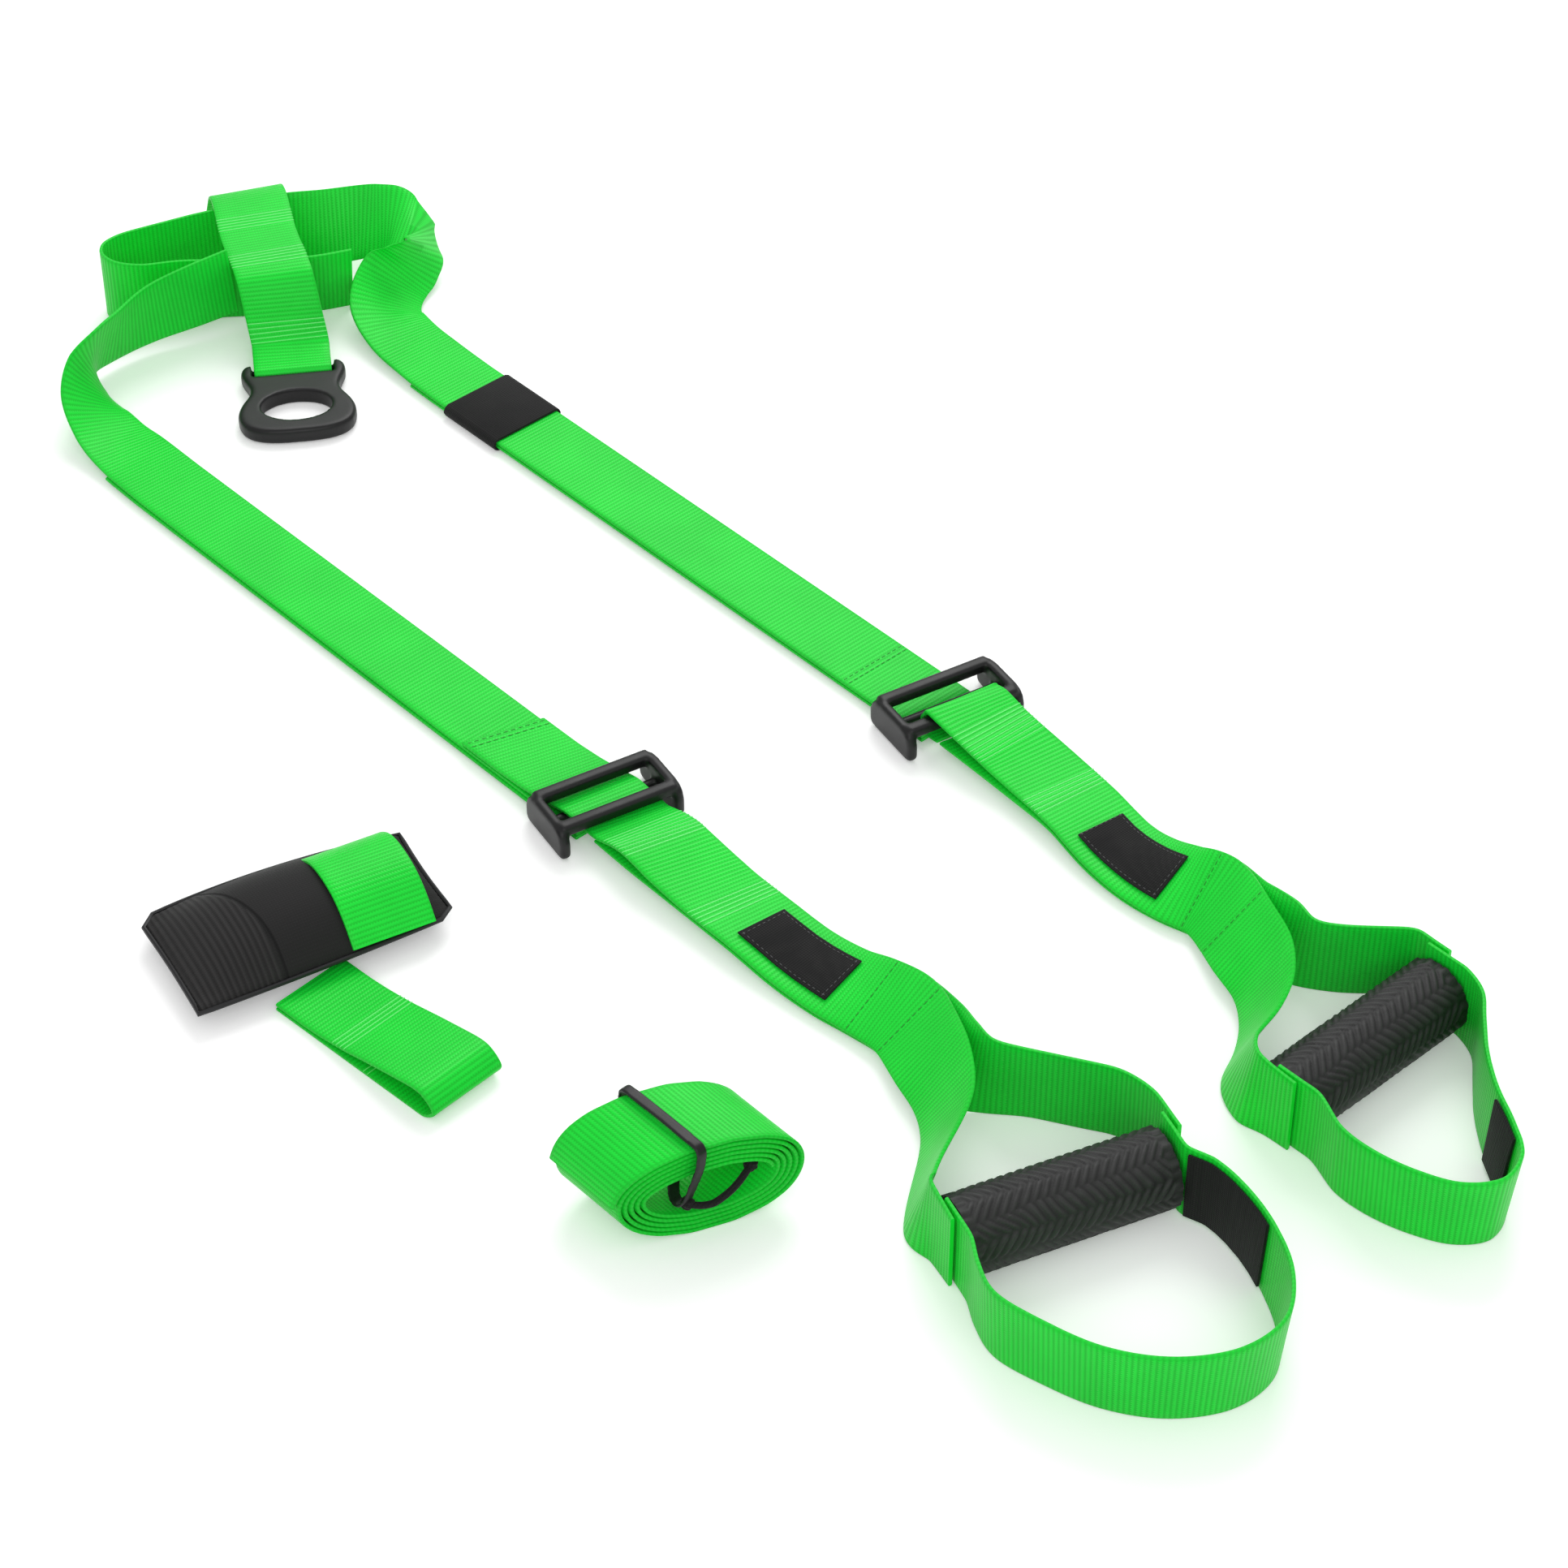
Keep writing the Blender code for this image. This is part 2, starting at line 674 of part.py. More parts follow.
def boolean(piece, other, operation):
    """Cut another mesh from a piece, or join it on."""
    modifier = piece.modifiers.new(f"{operation.title()} {other.name}", "BOOLEAN")
    modifier.operation = operation
    modifier.solver = "EXACT"
    modifier.object = other


def box(low, high, place=Matrix()):
    """A box between two corners."""
    body = bmesh.new()
    bmesh.ops.create_cube(body, size=1)
    middle = (Vector(low) + Vector(high)) / 2
    size = Vector(high) - Vector(low)
    bmesh.ops.scale(body, vec=size, verts=body.verts)
    bmesh.ops.translate(body, vec=middle, verts=body.verts)
    bmesh.ops.transform(body, matrix=place, verts=body.verts)
    return body


def prism(outline, depth, place=Matrix()):
    """An outline in X and Y extruded along Z."""
    body = bmesh.new()
    face = body.faces.new([body.verts.new((x, y, 0)) for x, y in outline])
    grown = bmesh.ops.extrude_face_region(body, geom=[face], use_keep_orig=True)["geom"]
    tops = [piece for piece in grown if isinstance(piece, bmesh.types.BMVert)]
    bmesh.ops.translate(body, vec=(0, 0, depth), verts=tops)
    bmesh.ops.transform(body, matrix=place, verts=body.verts)
    return body


def round_edges(body, radius, segments, angle):
    """Bevel the edges of a body that are sharper than an angle."""
    bmesh.ops.recalc_face_normals(body, faces=body.faces)
    sharp = [edge for edge in body.edges if edge.is_manifold and edge.calc_face_angle() > angle]
    bmesh.ops.bevel(body, geom=sharp, offset=radius, segments=segments, profile=0.5, affect="EDGES")


def ellipse(half_width, half_depth, steps):
    """Points of an ellipse."""
    angles = [2 * math.pi * i / steps for i in range(steps)]
    return [(half_width * math.cos(a), half_depth * math.sin(a)) for a in angles]


def turned(profile, place):
    """A closed profile of radius and height spun round Z into a ring."""
    body = bmesh.new()
    verts = [body.verts.new((radius, 0, height)) for radius, height in profile]
    edges = [body.edges.new((a, b)) for a, b in zip(verts, verts[1:] + verts[:1])]
    bmesh.ops.spin(body, geom=verts + edges, cent=(0, 0, 0), axis=(0, 0, 1),
                   angle=2 * math.pi, steps=ROUND_STEPS, use_merge=True)
    bmesh.ops.transform(body, matrix=place, verts=body.verts)
    return body


def frame_at(point, heading):
    """A level frame whose X axis points along a heading."""
    return Matrix.Translation(point) @ Matrix.Rotation(heading, 4, "Z")


def top_knots(rows):
    """Knots of the gathered top from its table."""
    return [
        knot((x * LEG_SPACING, y * WEB_WIDTH, z * WEB_WIDTH), lean, azimuth, gathered=azimuth is not None)
        for x, y, z, lean, azimuth in rows
    ]


def leg_knots(side, length, stop):
    """Knots of a leg's straight run, from its adjuster upwards."""
    start = -length - LEG_END_PAST_BUCKLE
    return [knot((side, start + (stop - start) * i / 4, LEG_UPPER_HEIGHT), 0) for i in range(5)]


def build_leg(side, route, return_length, shift, root):
    """One leg: its upper layer and the folded layer below it."""
    route = lift_to_floor(route, WEB_WIDTH, WEB_THICKNESS)
    stop = index_at(route, return_length)
    kept = thin(route, [stop])
    add_piece(f"{side}_leg_strap", sweep(pick(route, kept)), GREEN, root)
    below = offset(pick(route, kept, 0, stop), -(WEB_THICKNESS + LAYER_GAP), shift)
    add_piece(f"{side}_leg_return", sweep(below), GREEN, root)


def build_legs(root):
    """Both legs, with their ends in the gathered top."""
    left = lay_route(leg_knots(0, LEFT_LEG_LENGTH, 0) + top_knots(LEFT_TOP_SHARES))
    right_stop = -2 * WEB_WIDTH
    right = lay_route(leg_knots(LEG_SPACING, RIGHT_LEG_LENGTH, right_stop) + top_knots(RIGHT_TOP_SHARES))
    build_leg("left", left, LEFT_LEG_LENGTH + LEG_END_PAST_BUCKLE + WEB_WIDTH / 2, RETURN_SHIFT, root)
    build_leg("right", right, RIGHT_LEG_LENGTH + LEG_END_PAST_BUCKLE - WEB_WIDTH / 2, 0, root)


def build_top(root):
    """The walls of the gathered top, which stand on edge."""
    for name, rows in (("bunch_front_loop", FRONT_WALL_SHARES), ("bunch_back_wall", BACK_WALL_SHARES)):
        route = lift_to_floor(lay_route(top_knots(rows)), WEB_WIDTH, WEB_THICKNESS)
        add_piece(name, sweep(pick(route, thin(route))), GREEN, root)


def ring_frame():
    """Frame of the anchor ring, on its slot bar's axis, with Y down its length."""
    x, y = RING_PLACE_SHARES
    height = WEB_THICKNESS + LAYER_GAP + RING_BAR_RADIUS
    return frame_at((x * LEG_SPACING, y * WEB_WIDTH, height), RING_HEADING - math.pi / 2)


def build_anchor(root):
    """The anchor strap over the back wall, and the ring that it holds."""
    frame = ring_frame()
    width = frame.to_3x3() @ Vector((1, 0, 0))
    loop_radius = RING_BAR_RADIUS + LAYER_GAP + WEB_THICKNESS / 2
    knots = top_knots(ANCHOR_STRAP_SHARES)
    lead = [(-WEB_WIDTH / 5, loop_radius)]
    turn = [math.radians(angle) for angle in range(90, -91, -30)]
    loop = [(loop_radius * math.cos(a), loop_radius * math.sin(a)) for a in turn]
    tail = [(-WEB_WIDTH / 4, -loop_radius), (-ANCHOR_TAIL_LENGTH, -loop_radius)]
    for along, up in lead + loop + tail:
        knots.append(knot(frame @ Vector((0, along, up)), 0, width=-width))
    strap = lift_to_floor(lay_route(knots), WEB_WIDTH, WEB_THICKNESS)
    add_piece("anchor_strap", sweep(pick(strap, thin(strap))), GREEN, root)
    build_ring(root, frame)


def build_ring(root, frame):
    """The anchor ring: rounded outline, oval eye, strap slot and thin slot bar."""
    side = [Vector((x * RING_WIDTH, y * RING_LENGTH, 0)) for x, y in RING_OUTLINE_SHARES]
    curve = sample_curve(side, 2)
    outline = [(p.x, p.y) for p in curve] + [(-p.x, p.y) for p in reversed(curve)]
    length = max(y for _, y in outline)
    lowered = Matrix.Translation((0, 0, -RING_THICKNESS / 2))
    plate = prism(outline, RING_THICKNESS, lowered)
    round_edges(plate, RING_EDGE_RADIUS, 3, ROUNDED_ANGLE)
    bmesh.ops.transform(plate, matrix=frame, verts=plate.verts)
    pivot = frame.translation
    ring = add_piece("anchor_ring", plate, BLACK_PLASTIC, root, pivot)
    eye_place = Matrix.Translation((0, length - RING_RIM - RING_EYE_DEPTH / 2, -RING_THICKNESS))
    eye = prism(ellipse(RING_EYE_WIDTH / 2, RING_EYE_DEPTH / 2, ROUND_STEPS), 2 * RING_THICKNESS, frame @ eye_place)
    boolean(ring, add_cutter("ring_eye_cutter", eye, root, pivot), "DIFFERENCE")
    half = RING_SLOT_WIDTH / 2
    slot_stop = RING_BAR_RADIUS + RING_SLOT_DEPTH
    mouth = box((-half, -RING_LENGTH, -RING_THICKNESS), (half, slot_stop, RING_THICKNESS), frame)
    boolean(ring, add_cutter("ring_slot_cutter", mouth, root, pivot), "DIFFERENCE")
    reach = half + (RING_WIDTH / 2 - half) / 3
    lying = Matrix.Translation((-reach, 0, 0)) @ Matrix.Rotation(math.pi / 2, 4, "Y")
    bar = prism(ellipse(RING_BAR_RADIUS, RING_BAR_RADIUS, ROUND_STEPS // 2), 2 * reach, frame @ lying)
    boolean(ring, add_cutter("ring_slot_bar", bar, root, pivot), "UNION")


def build_keeper(root):
    """The elastic sleeve round both layers of the right leg."""
    middle = Vector((LEG_SPACING, -KEEPER_FROM_LEG_TOP, (LEG_TOP + LEG_BOTTOM) / 2))
    carrier = add_empty("keeper_slide", middle, root)
    inner_width = WEB_WIDTH / 2 + KEEPER_SIDE_CLEARANCE
    inner_height = (LEG_TOP - LEG_BOTTOM) / 2 + LAYER_GAP
    wall = KEEPER_WALL
    frame = Matrix.Translation(middle) @ Matrix.Rotation(math.pi / 2, 4, "X")
    outer = rounded_rectangle(inner_width + wall, inner_height + wall, inner_height + wall)
    inner = rounded_rectangle(inner_width, inner_height, inner_height / 2)
    centred = Matrix.Translation((0, 0, -KEEPER_LENGTH / 2))
    sleeve = add_piece("keeper_sleeve", prism(outer, KEEPER_LENGTH, frame @ centred), BLACK_FABRIC, carrier)
    past = Matrix.Translation((0, 0, -KEEPER_LENGTH))
    bore = add_cutter("keeper_bore_cutter", prism(inner, 2 * KEEPER_LENGTH, frame @ past), carrier)
    boolean(sleeve, bore, "DIFFERENCE")


def rounded_rectangle(half_width, half_height, radius):
    """Outline of a rectangle with round corners."""
    corners = [(1, 1, 0), (-1, 1, 90), (-1, -1, 180), (1, -1, 270)]
    outline = []
    for sx, sy, start in corners:
        centre = (sx * (half_width - radius), sy * (half_height - radius))
        for turn in (8, 45, 82):
            angle = math.radians(start + turn)
            outline.append((centre[0] + radius * math.cos(angle), centre[1] + radius * math.sin(angle)))
    return outline


def build_buckle(name, place, carrier):
    """One adjuster: two flanges, two upper rails and a low middle bar."""
    frame = frame_at(place + Vector((BUCKLE_SIDE_OFFSET, 0, 0)), BUCKLE_SKEW)
    flange_outline = [
        (y * BUCKLE_FLANGE_LENGTH, z * BUCKLE_FLANGE_HEIGHT + BUCKLE_FLOOR_GAP) for y, z in FLANGE_OUTLINE_SHARES
    ]
    upright = Matrix(((0, 0, 1, 0), (1, 0, 0, 0), (0, 1, 0, 0), (0, 0, 0, 1)))
    half = BUCKLE_OPENING / 2
    flanges = []
    for start in (half, -half - BUCKLE_FLANGE_THICKNESS):
        flange = prism(flange_outline, BUCKLE_FLANGE_THICKNESS, Matrix.Translation((start, 0, 0)) @ upright)
        round_edges(flange, BUCKLE_EDGE_RADIUS, 2, ROUNDED_ANGLE)
        bmesh.ops.transform(flange, matrix=frame, verts=flange.verts)
        flanges.append(flange)
    buckle = add_piece(name, flanges[0], BLACK_PLASTIC, carrier)
    boolean(buckle, add_cutter(f"{name}_flange", flanges[1], carrier), "UNION")
    reach = half + BUCKLE_FLANGE_THICKNESS / 2
    rail_y = BUCKLE_RAIL_SPACING / 2
    bars = (
        ("upper_rail", rail_y, RAIL_BOTTOM, BUCKLE_RAIL_DEPTH, BUCKLE_RAIL_HEIGHT),
        ("lower_rail", -rail_y, RAIL_BOTTOM, BUCKLE_RAIL_DEPTH, BUCKLE_RAIL_HEIGHT),
        ("middle_bar", BUCKLE_BAR_OFFSET, BAR_BOTTOM, BUCKLE_BAR_DEPTH, BUCKLE_BAR_HEIGHT),
    )
    for part, y, bottom, depth, height in bars:
        outline = rounded_rectangle(depth / 2, height / 2, BUCKLE_EDGE_RADIUS)
        turn = Matrix.Translation((-reach, y, bottom + height / 2)) @ upright
        bar = prism(outline, 2 * reach, frame @ turn)
        boolean(buckle, add_cutter(f"{name}_{part}", bar, carrier), "UNION")


def grip_knots(frame, heading, rows):
    """Knots of a branch or loop, from its table in the grip's own frame."""
    knots = []
    for u, v, z, lean, azimuth in rows:
        point = frame @ Vector((u * GRIP_LENGTH, v * GRIP_LENGTH, z * WEB_WIDTH))
        turn = None if azimuth is None else azimuth + math.degrees(heading)
        knots.append(knot(point, lean, turn))
    return knots


def end_knots(frame, along, rows):
    """Knots of the webbing that stands on edge across a grip's end."""
    return [knot(frame @ Vector((along, v * GRIP_LENGTH, z * WEB_WIDTH)), lean) for v, z, lean in rows]


def sewn_knots(buckle, rows, base):
    """Knots of a sewn strap from a table beside its adjuster."""
    return [
        knot(buckle + Vector((x * WEB_WIDTH, y * WEB_WIDTH, base + z * WEB_WIDTH)), lean, azimuth,
             slanted=lean == 0)
        for x, y, z, lean, azimuth in rows
    ]


def left_weave(buckle):
    """Knots where the left strap goes under, over and under the adjuster's bars."""
    rail = BUCKLE_RAIL_SPACING / 2
    heading = math.degrees(BUCKLE_SKEW)
    places = ((rail, UNDER_RAIL_HEIGHT), (BUCKLE_BAR_OFFSET, OVER_BAR_HEIGHT), (-rail, UNDER_RAIL_HEIGHT))
    return [knot(buckle + Vector((BUCKLE_SIDE_OFFSET, y, z)), 0, heading, slanted=True) for y, z in places]


def right_nose(buckle):
    """Knots where the right strap turns back over the adjuster's lower rail."""
    rail = -BUCKLE_RAIL_SPACING / 2
    front = rail + BUCKLE_RAIL_DEPTH / 2
    back = rail - BUCKLE_RAIL_DEPTH / 2
    reach = BUCKLE_RUN_GAP + WEB_THICKNESS
    middle = (RAIL_BOTTOM + RAIL_TOP) / 2
    lift = SEWN_HEIGHT + LAYER_GAP / 2
    side = Vector((math.cos(BUCKLE_SKEW), math.sin(BUCKLE_SKEW), 0))
    places = (
        (back - WEB_THICKNESS, lift),
        (rail, lift),
        (front + WEB_THICKNESS / 2, (lift + RAIL_BOTTOM) / 2),
        (front + reach, middle),
        (front, OVER_RAIL_HEIGHT),
        (rail, OVER_RAIL_HEIGHT + BUCKLE_RUN_GAP),
        (back, OVER_RAIL_HEIGHT),
    )
    return [
        knot(buckle + Vector((BUCKLE_SIDE_OFFSET, y, z)), 0, width=side, slanted=True)
        for y, z in places
    ]


def lower_start(buckle):
    """First knots of a lower ply, flat over the leg below the adjuster."""
    back = -BUCKLE_RAIL_SPACING / 2 - BUCKLE_RAIL_DEPTH / 2 - 2 * WEB_THICKNESS
    heading = math.degrees(BUCKLE_SKEW)
    return [
        knot(buckle + Vector((BUCKLE_SIDE_OFFSET, back, SEWN_HEIGHT)), 0, heading, slanted=True),
        knot(buckle + Vector((0, back - WEB_WIDTH / 2, SEWN_HEIGHT)), 0, heading, slanted=True),
    ]


def build_handle(side, buckle, length, tables, heading, label_to_fork, root):
    """A whole handle: adjuster, sewn strap, grip, foot loop and trim."""
    head, arch, fork_rows, from_fork, upper_rows, upper_end, lower_rows, lower_end, loop_rows, pad_reach = tables
    carrier = add_empty(f"{side}_handle_slide", buckle, root)
    build_buckle(f"{side}_buckle", buckle, carrier)
    fork = buckle - Vector((0, length, 0))
    middle = fork + Vector((*from_fork, 0)) * GRIP_LENGTH
    frame = frame_at(middle, heading)
    shared = sewn_knots(buckle, arch[-1:], SEWN_HEIGHT) + sewn_knots(fork, fork_rows, 0)
    upper_knots = head(buckle) + sewn_knots(buckle, arch[:-1], SEWN_HEIGHT) + shared
    first_shared = len(upper_knots) - len(shared)
    upper_knots += grip_knots(frame, heading, upper_rows)
    upper_knots += end_knots(frame, -GRIP_OUTER_PLY, upper_end)
    upper = lay_route(upper_knots)
    step = WEB_THICKNESS + CURVE_GAP
    first = first_shared * ROUTE_SAMPLES
    fork_index = first + (len(shared) - 1) * ROUTE_SAMPLES
    joined = []
    for i in range(first, fork_index + ROUTE_SAMPLES + 1):
        opened = max(0, (i - fork_index) / ROUTE_SAMPLES)
        joined += offset([upper[i]], -step - FORK_OPENING * opened)
    knots = lower_start(buckle)
    knots += [knot(item.point, 0, width=item.width) for item in joined[::ROUTE_SAMPLES // 4]]
    branch_start = (len(knots) - 1) * ROUTE_SAMPLES + 1
    joined_start = len(lower_start(buckle)) * ROUTE_SAMPLES
    knots += grip_knots(frame, heading, lower_rows)
    knots += end_knots(frame, GRIP_OUTER_PLY, lower_end)
    lower = lay_route(knots)
    lower = lower[:joined_start] + joined + lower[branch_start:]
    loop_knots = end_knots(frame, -GRIP_END_PLY, LOOP_START_SHARES)
    loop_knots += grip_knots(frame, heading, loop_rows)
    loop_knots += end_knots(frame, GRIP_END_PLY, LOOP_END_SHARES)
    loop = lay_route(loop_knots)
    middle = travelled(upper[:fork_index]) - label_to_fork
    label = [index_at(upper, middle - LABEL_LENGTH / 2), index_at(upper, middle + LABEL_LENGTH / 2)]
    pad = [index_at(loop, share * travelled(loop)) for share in pad_reach]
    upper_kept = thin(upper, label)
    together = [i - first + joined_start for i in upper_kept if first <= i < first + len(joined)]
    loop_kept = thin(loop, pad)
    runs = (
        ("handle_strap_upper", pick(upper, upper_kept)),
        ("handle_strap_lower", pick(lower, thin(lower, together))),
        ("foot_loop", pick(loop, loop_kept)),
    )
    for name, run in runs:
        run = lift_to_floor(run, WEB_WIDTH, WEB_THICKNESS)
        add_piece(f"{side}_{name}", sweep(run), GREEN, carrier)
    lift = WEB_THICKNESS / 2 + CURVE_GAP + LABEL_THICKNESS / 2
    patch = offset(pick(upper, upper_kept, *label), lift)
    add_piece(f"{side}_label_patch", sweep(patch, LABEL_WIDTH, LABEL_THICKNESS), BLACK_FABRIC, carrier)
    inward = -(WEB_THICKNESS / 2 + CURVE_GAP + LOOP_PAD_THICKNESS / 2)
    strip = offset(pick(loop, loop_kept, *pad), inward)
    add_piece(f"{side}_loop_pad", sweep(strip, LOOP_PAD_WIDTH, LOOP_PAD_THICKNESS), BLACK_FABRIC, carrier)
    build_grip(side, frame, carrier)


def build_grip(side, frame, carrier):
    """The foam, its tube, and the webbing core that they turn on."""
    axis = frame @ Matrix.Translation((0, 0, GRIP_RADIUS))
    along = axis @ Matrix.Rotation(math.pi / 2, 4, "Y")
    spinner = add_empty(f"{side}_grip_axis", axis.translation, carrier)
    half = GRIP_LENGTH / 2
    foam_bore = TUBE_RADIUS + TUBE_FIT_GAP
    corner = GRIP_EDGE_RADIUS
    outer = GRIP_RADIUS
    profile = [
        (foam_bore, -half),
        (outer - corner, -half),
        (outer - corner * (1 - math.sin(math.pi / 4)), -half + corner * (1 - math.cos(math.pi / 4))),
        (outer, -half + corner),
        (outer, half - corner),
        (outer - corner * (1 - math.sin(math.pi / 4)), half - corner * (1 - math.cos(math.pi / 4))),
        (outer - corner, half),
        (foam_bore, half),
    ]
    add_piece(f"{side}_grip_foam", turned(profile, along), BLACK_FOAM, spinner)
    reach = half + TUBE_PROUD
    profile = [(TUBE_BORE_RADIUS, -reach), (TUBE_RADIUS, -reach), (TUBE_RADIUS, reach), (TUBE_BORE_RADIUS, reach)]
    add_piece(f"{side}_grip_tube", turned(profile, along), GREY_TUBE, spinner)
    core = GRIP_END_PLY - WEB_THICKNESS / 2 - CORE_END_CLEARANCE
    low = Vector((-core, -CORE_WIDTH / 2, -CORE_THICKNESS / 2))
    add_piece(f"{side}_grip_core", box(low, -low, axis), GREEN, carrier)


def pad_surface(u, v):
    """Height of the pad's top and bottom over a unit square, and its plan."""
    crown = (1 - abs(u) ** PAD_SIDE_POWER) * (1 - abs(v) ** PAD_SIDE_POWER)
    rim = max(abs(u), abs(v)) ** PAD_BOTTOM_POWER
    top = PAD_SEAM_HEIGHT + PAD_CROWN * crown
    bottom = max(0, PAD_SEAM_HEIGHT * rim - PAD_FLAT_CUT)
    draw_u = 1 - PAD_DRAW_SHARE * (1 - v * v) * abs(u)
    draw_v = 1 - PAD_DRAW_SHARE * (1 - u * u) * abs(v)
    taper = 1 - PAD_TAPER_SHARE * u
    x = u * PAD_LENGTH / 2 * draw_u
    y = v * PAD_DEPTH / 2 * draw_v * taper
    return x, y, top, bottom


def pad_top(spot):
    """Height of the pad's top near a spot of its plan."""
    u = max(-1, min(1, 2 * spot.x / PAD_LENGTH))
    v = max(-1, min(1, 2 * spot.y / PAD_DEPTH))
    return pad_surface(u, v)[2]


def build_pad(frame, carrier):
    """The door anchor's cushion: two grids that meet at a seam."""
    body = bmesh.new()
    sides = []
    for level in (2, 3):
        bmesh.ops.create_grid(body, x_segments=PAD_COLUMNS, y_segments=PAD_ROWS, size=1)
        placed = {vert for other in sides for vert in other}
        sides.append([vert for vert in body.verts if vert not in placed])
        for vert in sides[-1]:
            surface = pad_surface(vert.co.x, vert.co.y)
            edge = max(abs(vert.co.x), abs(vert.co.y)) > 1 - 1 / (4 * PAD_COLUMNS)
            height = PAD_SEAM_HEIGHT if edge else surface[level]
            vert.co = Vector((surface[0], surface[1], height))
    bmesh.ops.remove_doubles(body, verts=body.verts, dist=LAYER_GAP / 10)
    bmesh.ops.transform(body, matrix=frame, verts=body.verts)
    add_piece("door_anchor_pad", body, BLACK_FABRIC, carrier)


def build_door_anchor(root):
    """The cushion, the band round it and the tail loop below it."""
    x, y = PAD_PLACE_SHARES
    place = LEFT_BUCKLE + Vector((x * WEB_WIDTH, y * WEB_WIDTH, 0))
    carrier = add_empty("door_anchor_lift", place, root)
    frame = frame_at(place, PAD_HEADING)
    build_pad(frame, carrier)
    turn = BAND_HEADING - PAD_HEADING
    across = Vector((math.cos(turn), math.sin(turn), 0))
    band = []
    width = frame.to_3x3() @ Vector((0, 0, 1)).cross(across)
    side = Vector((0, 0, 1)).cross(across) * WEB_WIDTH / 2
    middle = Vector((BAND_ALONG_PAD_SHARE * PAD_LENGTH, 0, 0))
    lift = WEB_THICKNESS / 2 + BAND_GAP
    count = PAD_ROWS // 2
    for i in range(-count, count + 1):
        spot = middle + across * PAD_DEPTH / 2 * i / count
        top = max(pad_top(spot + side * i / 2) for i in range(-2, 3))
        band.append(knot(frame @ Vector((spot.x, spot.y, top + lift)), 0, width=width))
    route = lay_route(band)
    add_piece("door_anchor_band", sweep(pick(route, thin(route))), GREEN, carrier)
    x, y = DOOR_TAIL_PLACE_SHARES
    start = LEFT_BUCKLE + Vector((x * WEB_WIDTH, y * WEB_WIDTH, 0))
    tail = frame_at(start, DOOR_TAIL_HEADING)
    floor = WEB_THICKNESS / 2
    upper = floor + WEB_THICKNESS + CURVE_GAP
    length = DOOR_TAIL_LENGTH
    bulge = DOOR_TAIL_BULGE
    points = [(0, floor)]
    points += [(length * share, floor) for share in DOOR_TAIL_OUT_SHARES]
    points += [(length - bulge / 2, floor), (length, bulge / 2), (length - bulge / 2, bulge)]
    points += [(length * share, bulge * rise) for share, rise in DOOR_TAIL_BACK_SHARES]
    points += [(length * DOOR_TAIL_SEWN_SHARE, upper), (0, upper)]
    knots = [knot(tail @ Vector((along, 0, up)), 0, width=tail.to_3x3() @ Vector((0, 1, 0))) for along, up in points]
    route = lift_to_floor(lay_route(knots), WEB_WIDTH, WEB_THICKNESS)
    add_piece("door_anchor_tail", sweep(pick(route, thin(route))), GREEN, carrier)


def roll_point(angle):
    """Centre and outward normal of the winding at an angle of its normal."""
    half_length = ROLL_HOLLOW_LENGTH / 2
    half_height = ROLL_HOLLOW_HEIGHT / 2
    out = Vector((math.cos(angle), 0, math.sin(angle)))
    norm = math.hypot(half_length * out.x, half_height * out.z)
    base = Vector((half_length ** 2 * out.x / norm, 0, half_height ** 2 * out.z / norm))
    grown = WEB_THICKNESS / 2 + ROLL_PITCH * angle / (2 * math.pi)
    return base + out * grown, out


def roll_route():
    """Stations of the whole winding, in the roll's frame about its axis."""
    count = round(ROLL_TURNS * ROLL_STEPS_PER_TURN)
    half_step = math.pi / ROLL_STEPS_PER_TURN
    angles = [half_step + i * 2 * half_step for i in range(count)]
    width = Vector((0, 1, 0))
    stations = []
    for angle in angles:
        point, out = roll_point(angle)
        stations.append(sheared(Station(point, out.cross(width), width, out, 0, 1)))
    return stations


def sheared(item):
    """The station moved along the roll's axis, with its cross line kept."""
    point = item.point + Vector((0, ROLL_SHEAR_SHARE * item.point.x, 0))
    tangent = (item.tangent + Vector((0, ROLL_SHEAR_SHARE * item.tangent.x, 0))).normalized()
    width, skew, reach = width_and_skew(tangent, knot(point, 0, width=item.width, slanted=True))
    return Station(point, tangent, width, tangent.cross(width), skew, reach)


def least_gap(stations):
    """Least distance between neighbouring turns, measured from face to face."""
    points = np.array([item.point for item in stations])
    least = math.inf
    for i in range(ROLL_STEPS_PER_TURN // 2, len(points)):
        past = points[:i - ROLL_STEPS_PER_TURN // 2 + 1]
        a, b = past[:-1], past[1:]
        if len(a) == 0:
            continue
        run = b - a
        share = np.clip(((points[i] - a) * run).sum(1) / (run * run).sum(1), 0, 1)
        least = min(least, np.linalg.norm(points[i] - a - run * share[:, None], axis=1).min())
    return least - WEB_THICKNESS


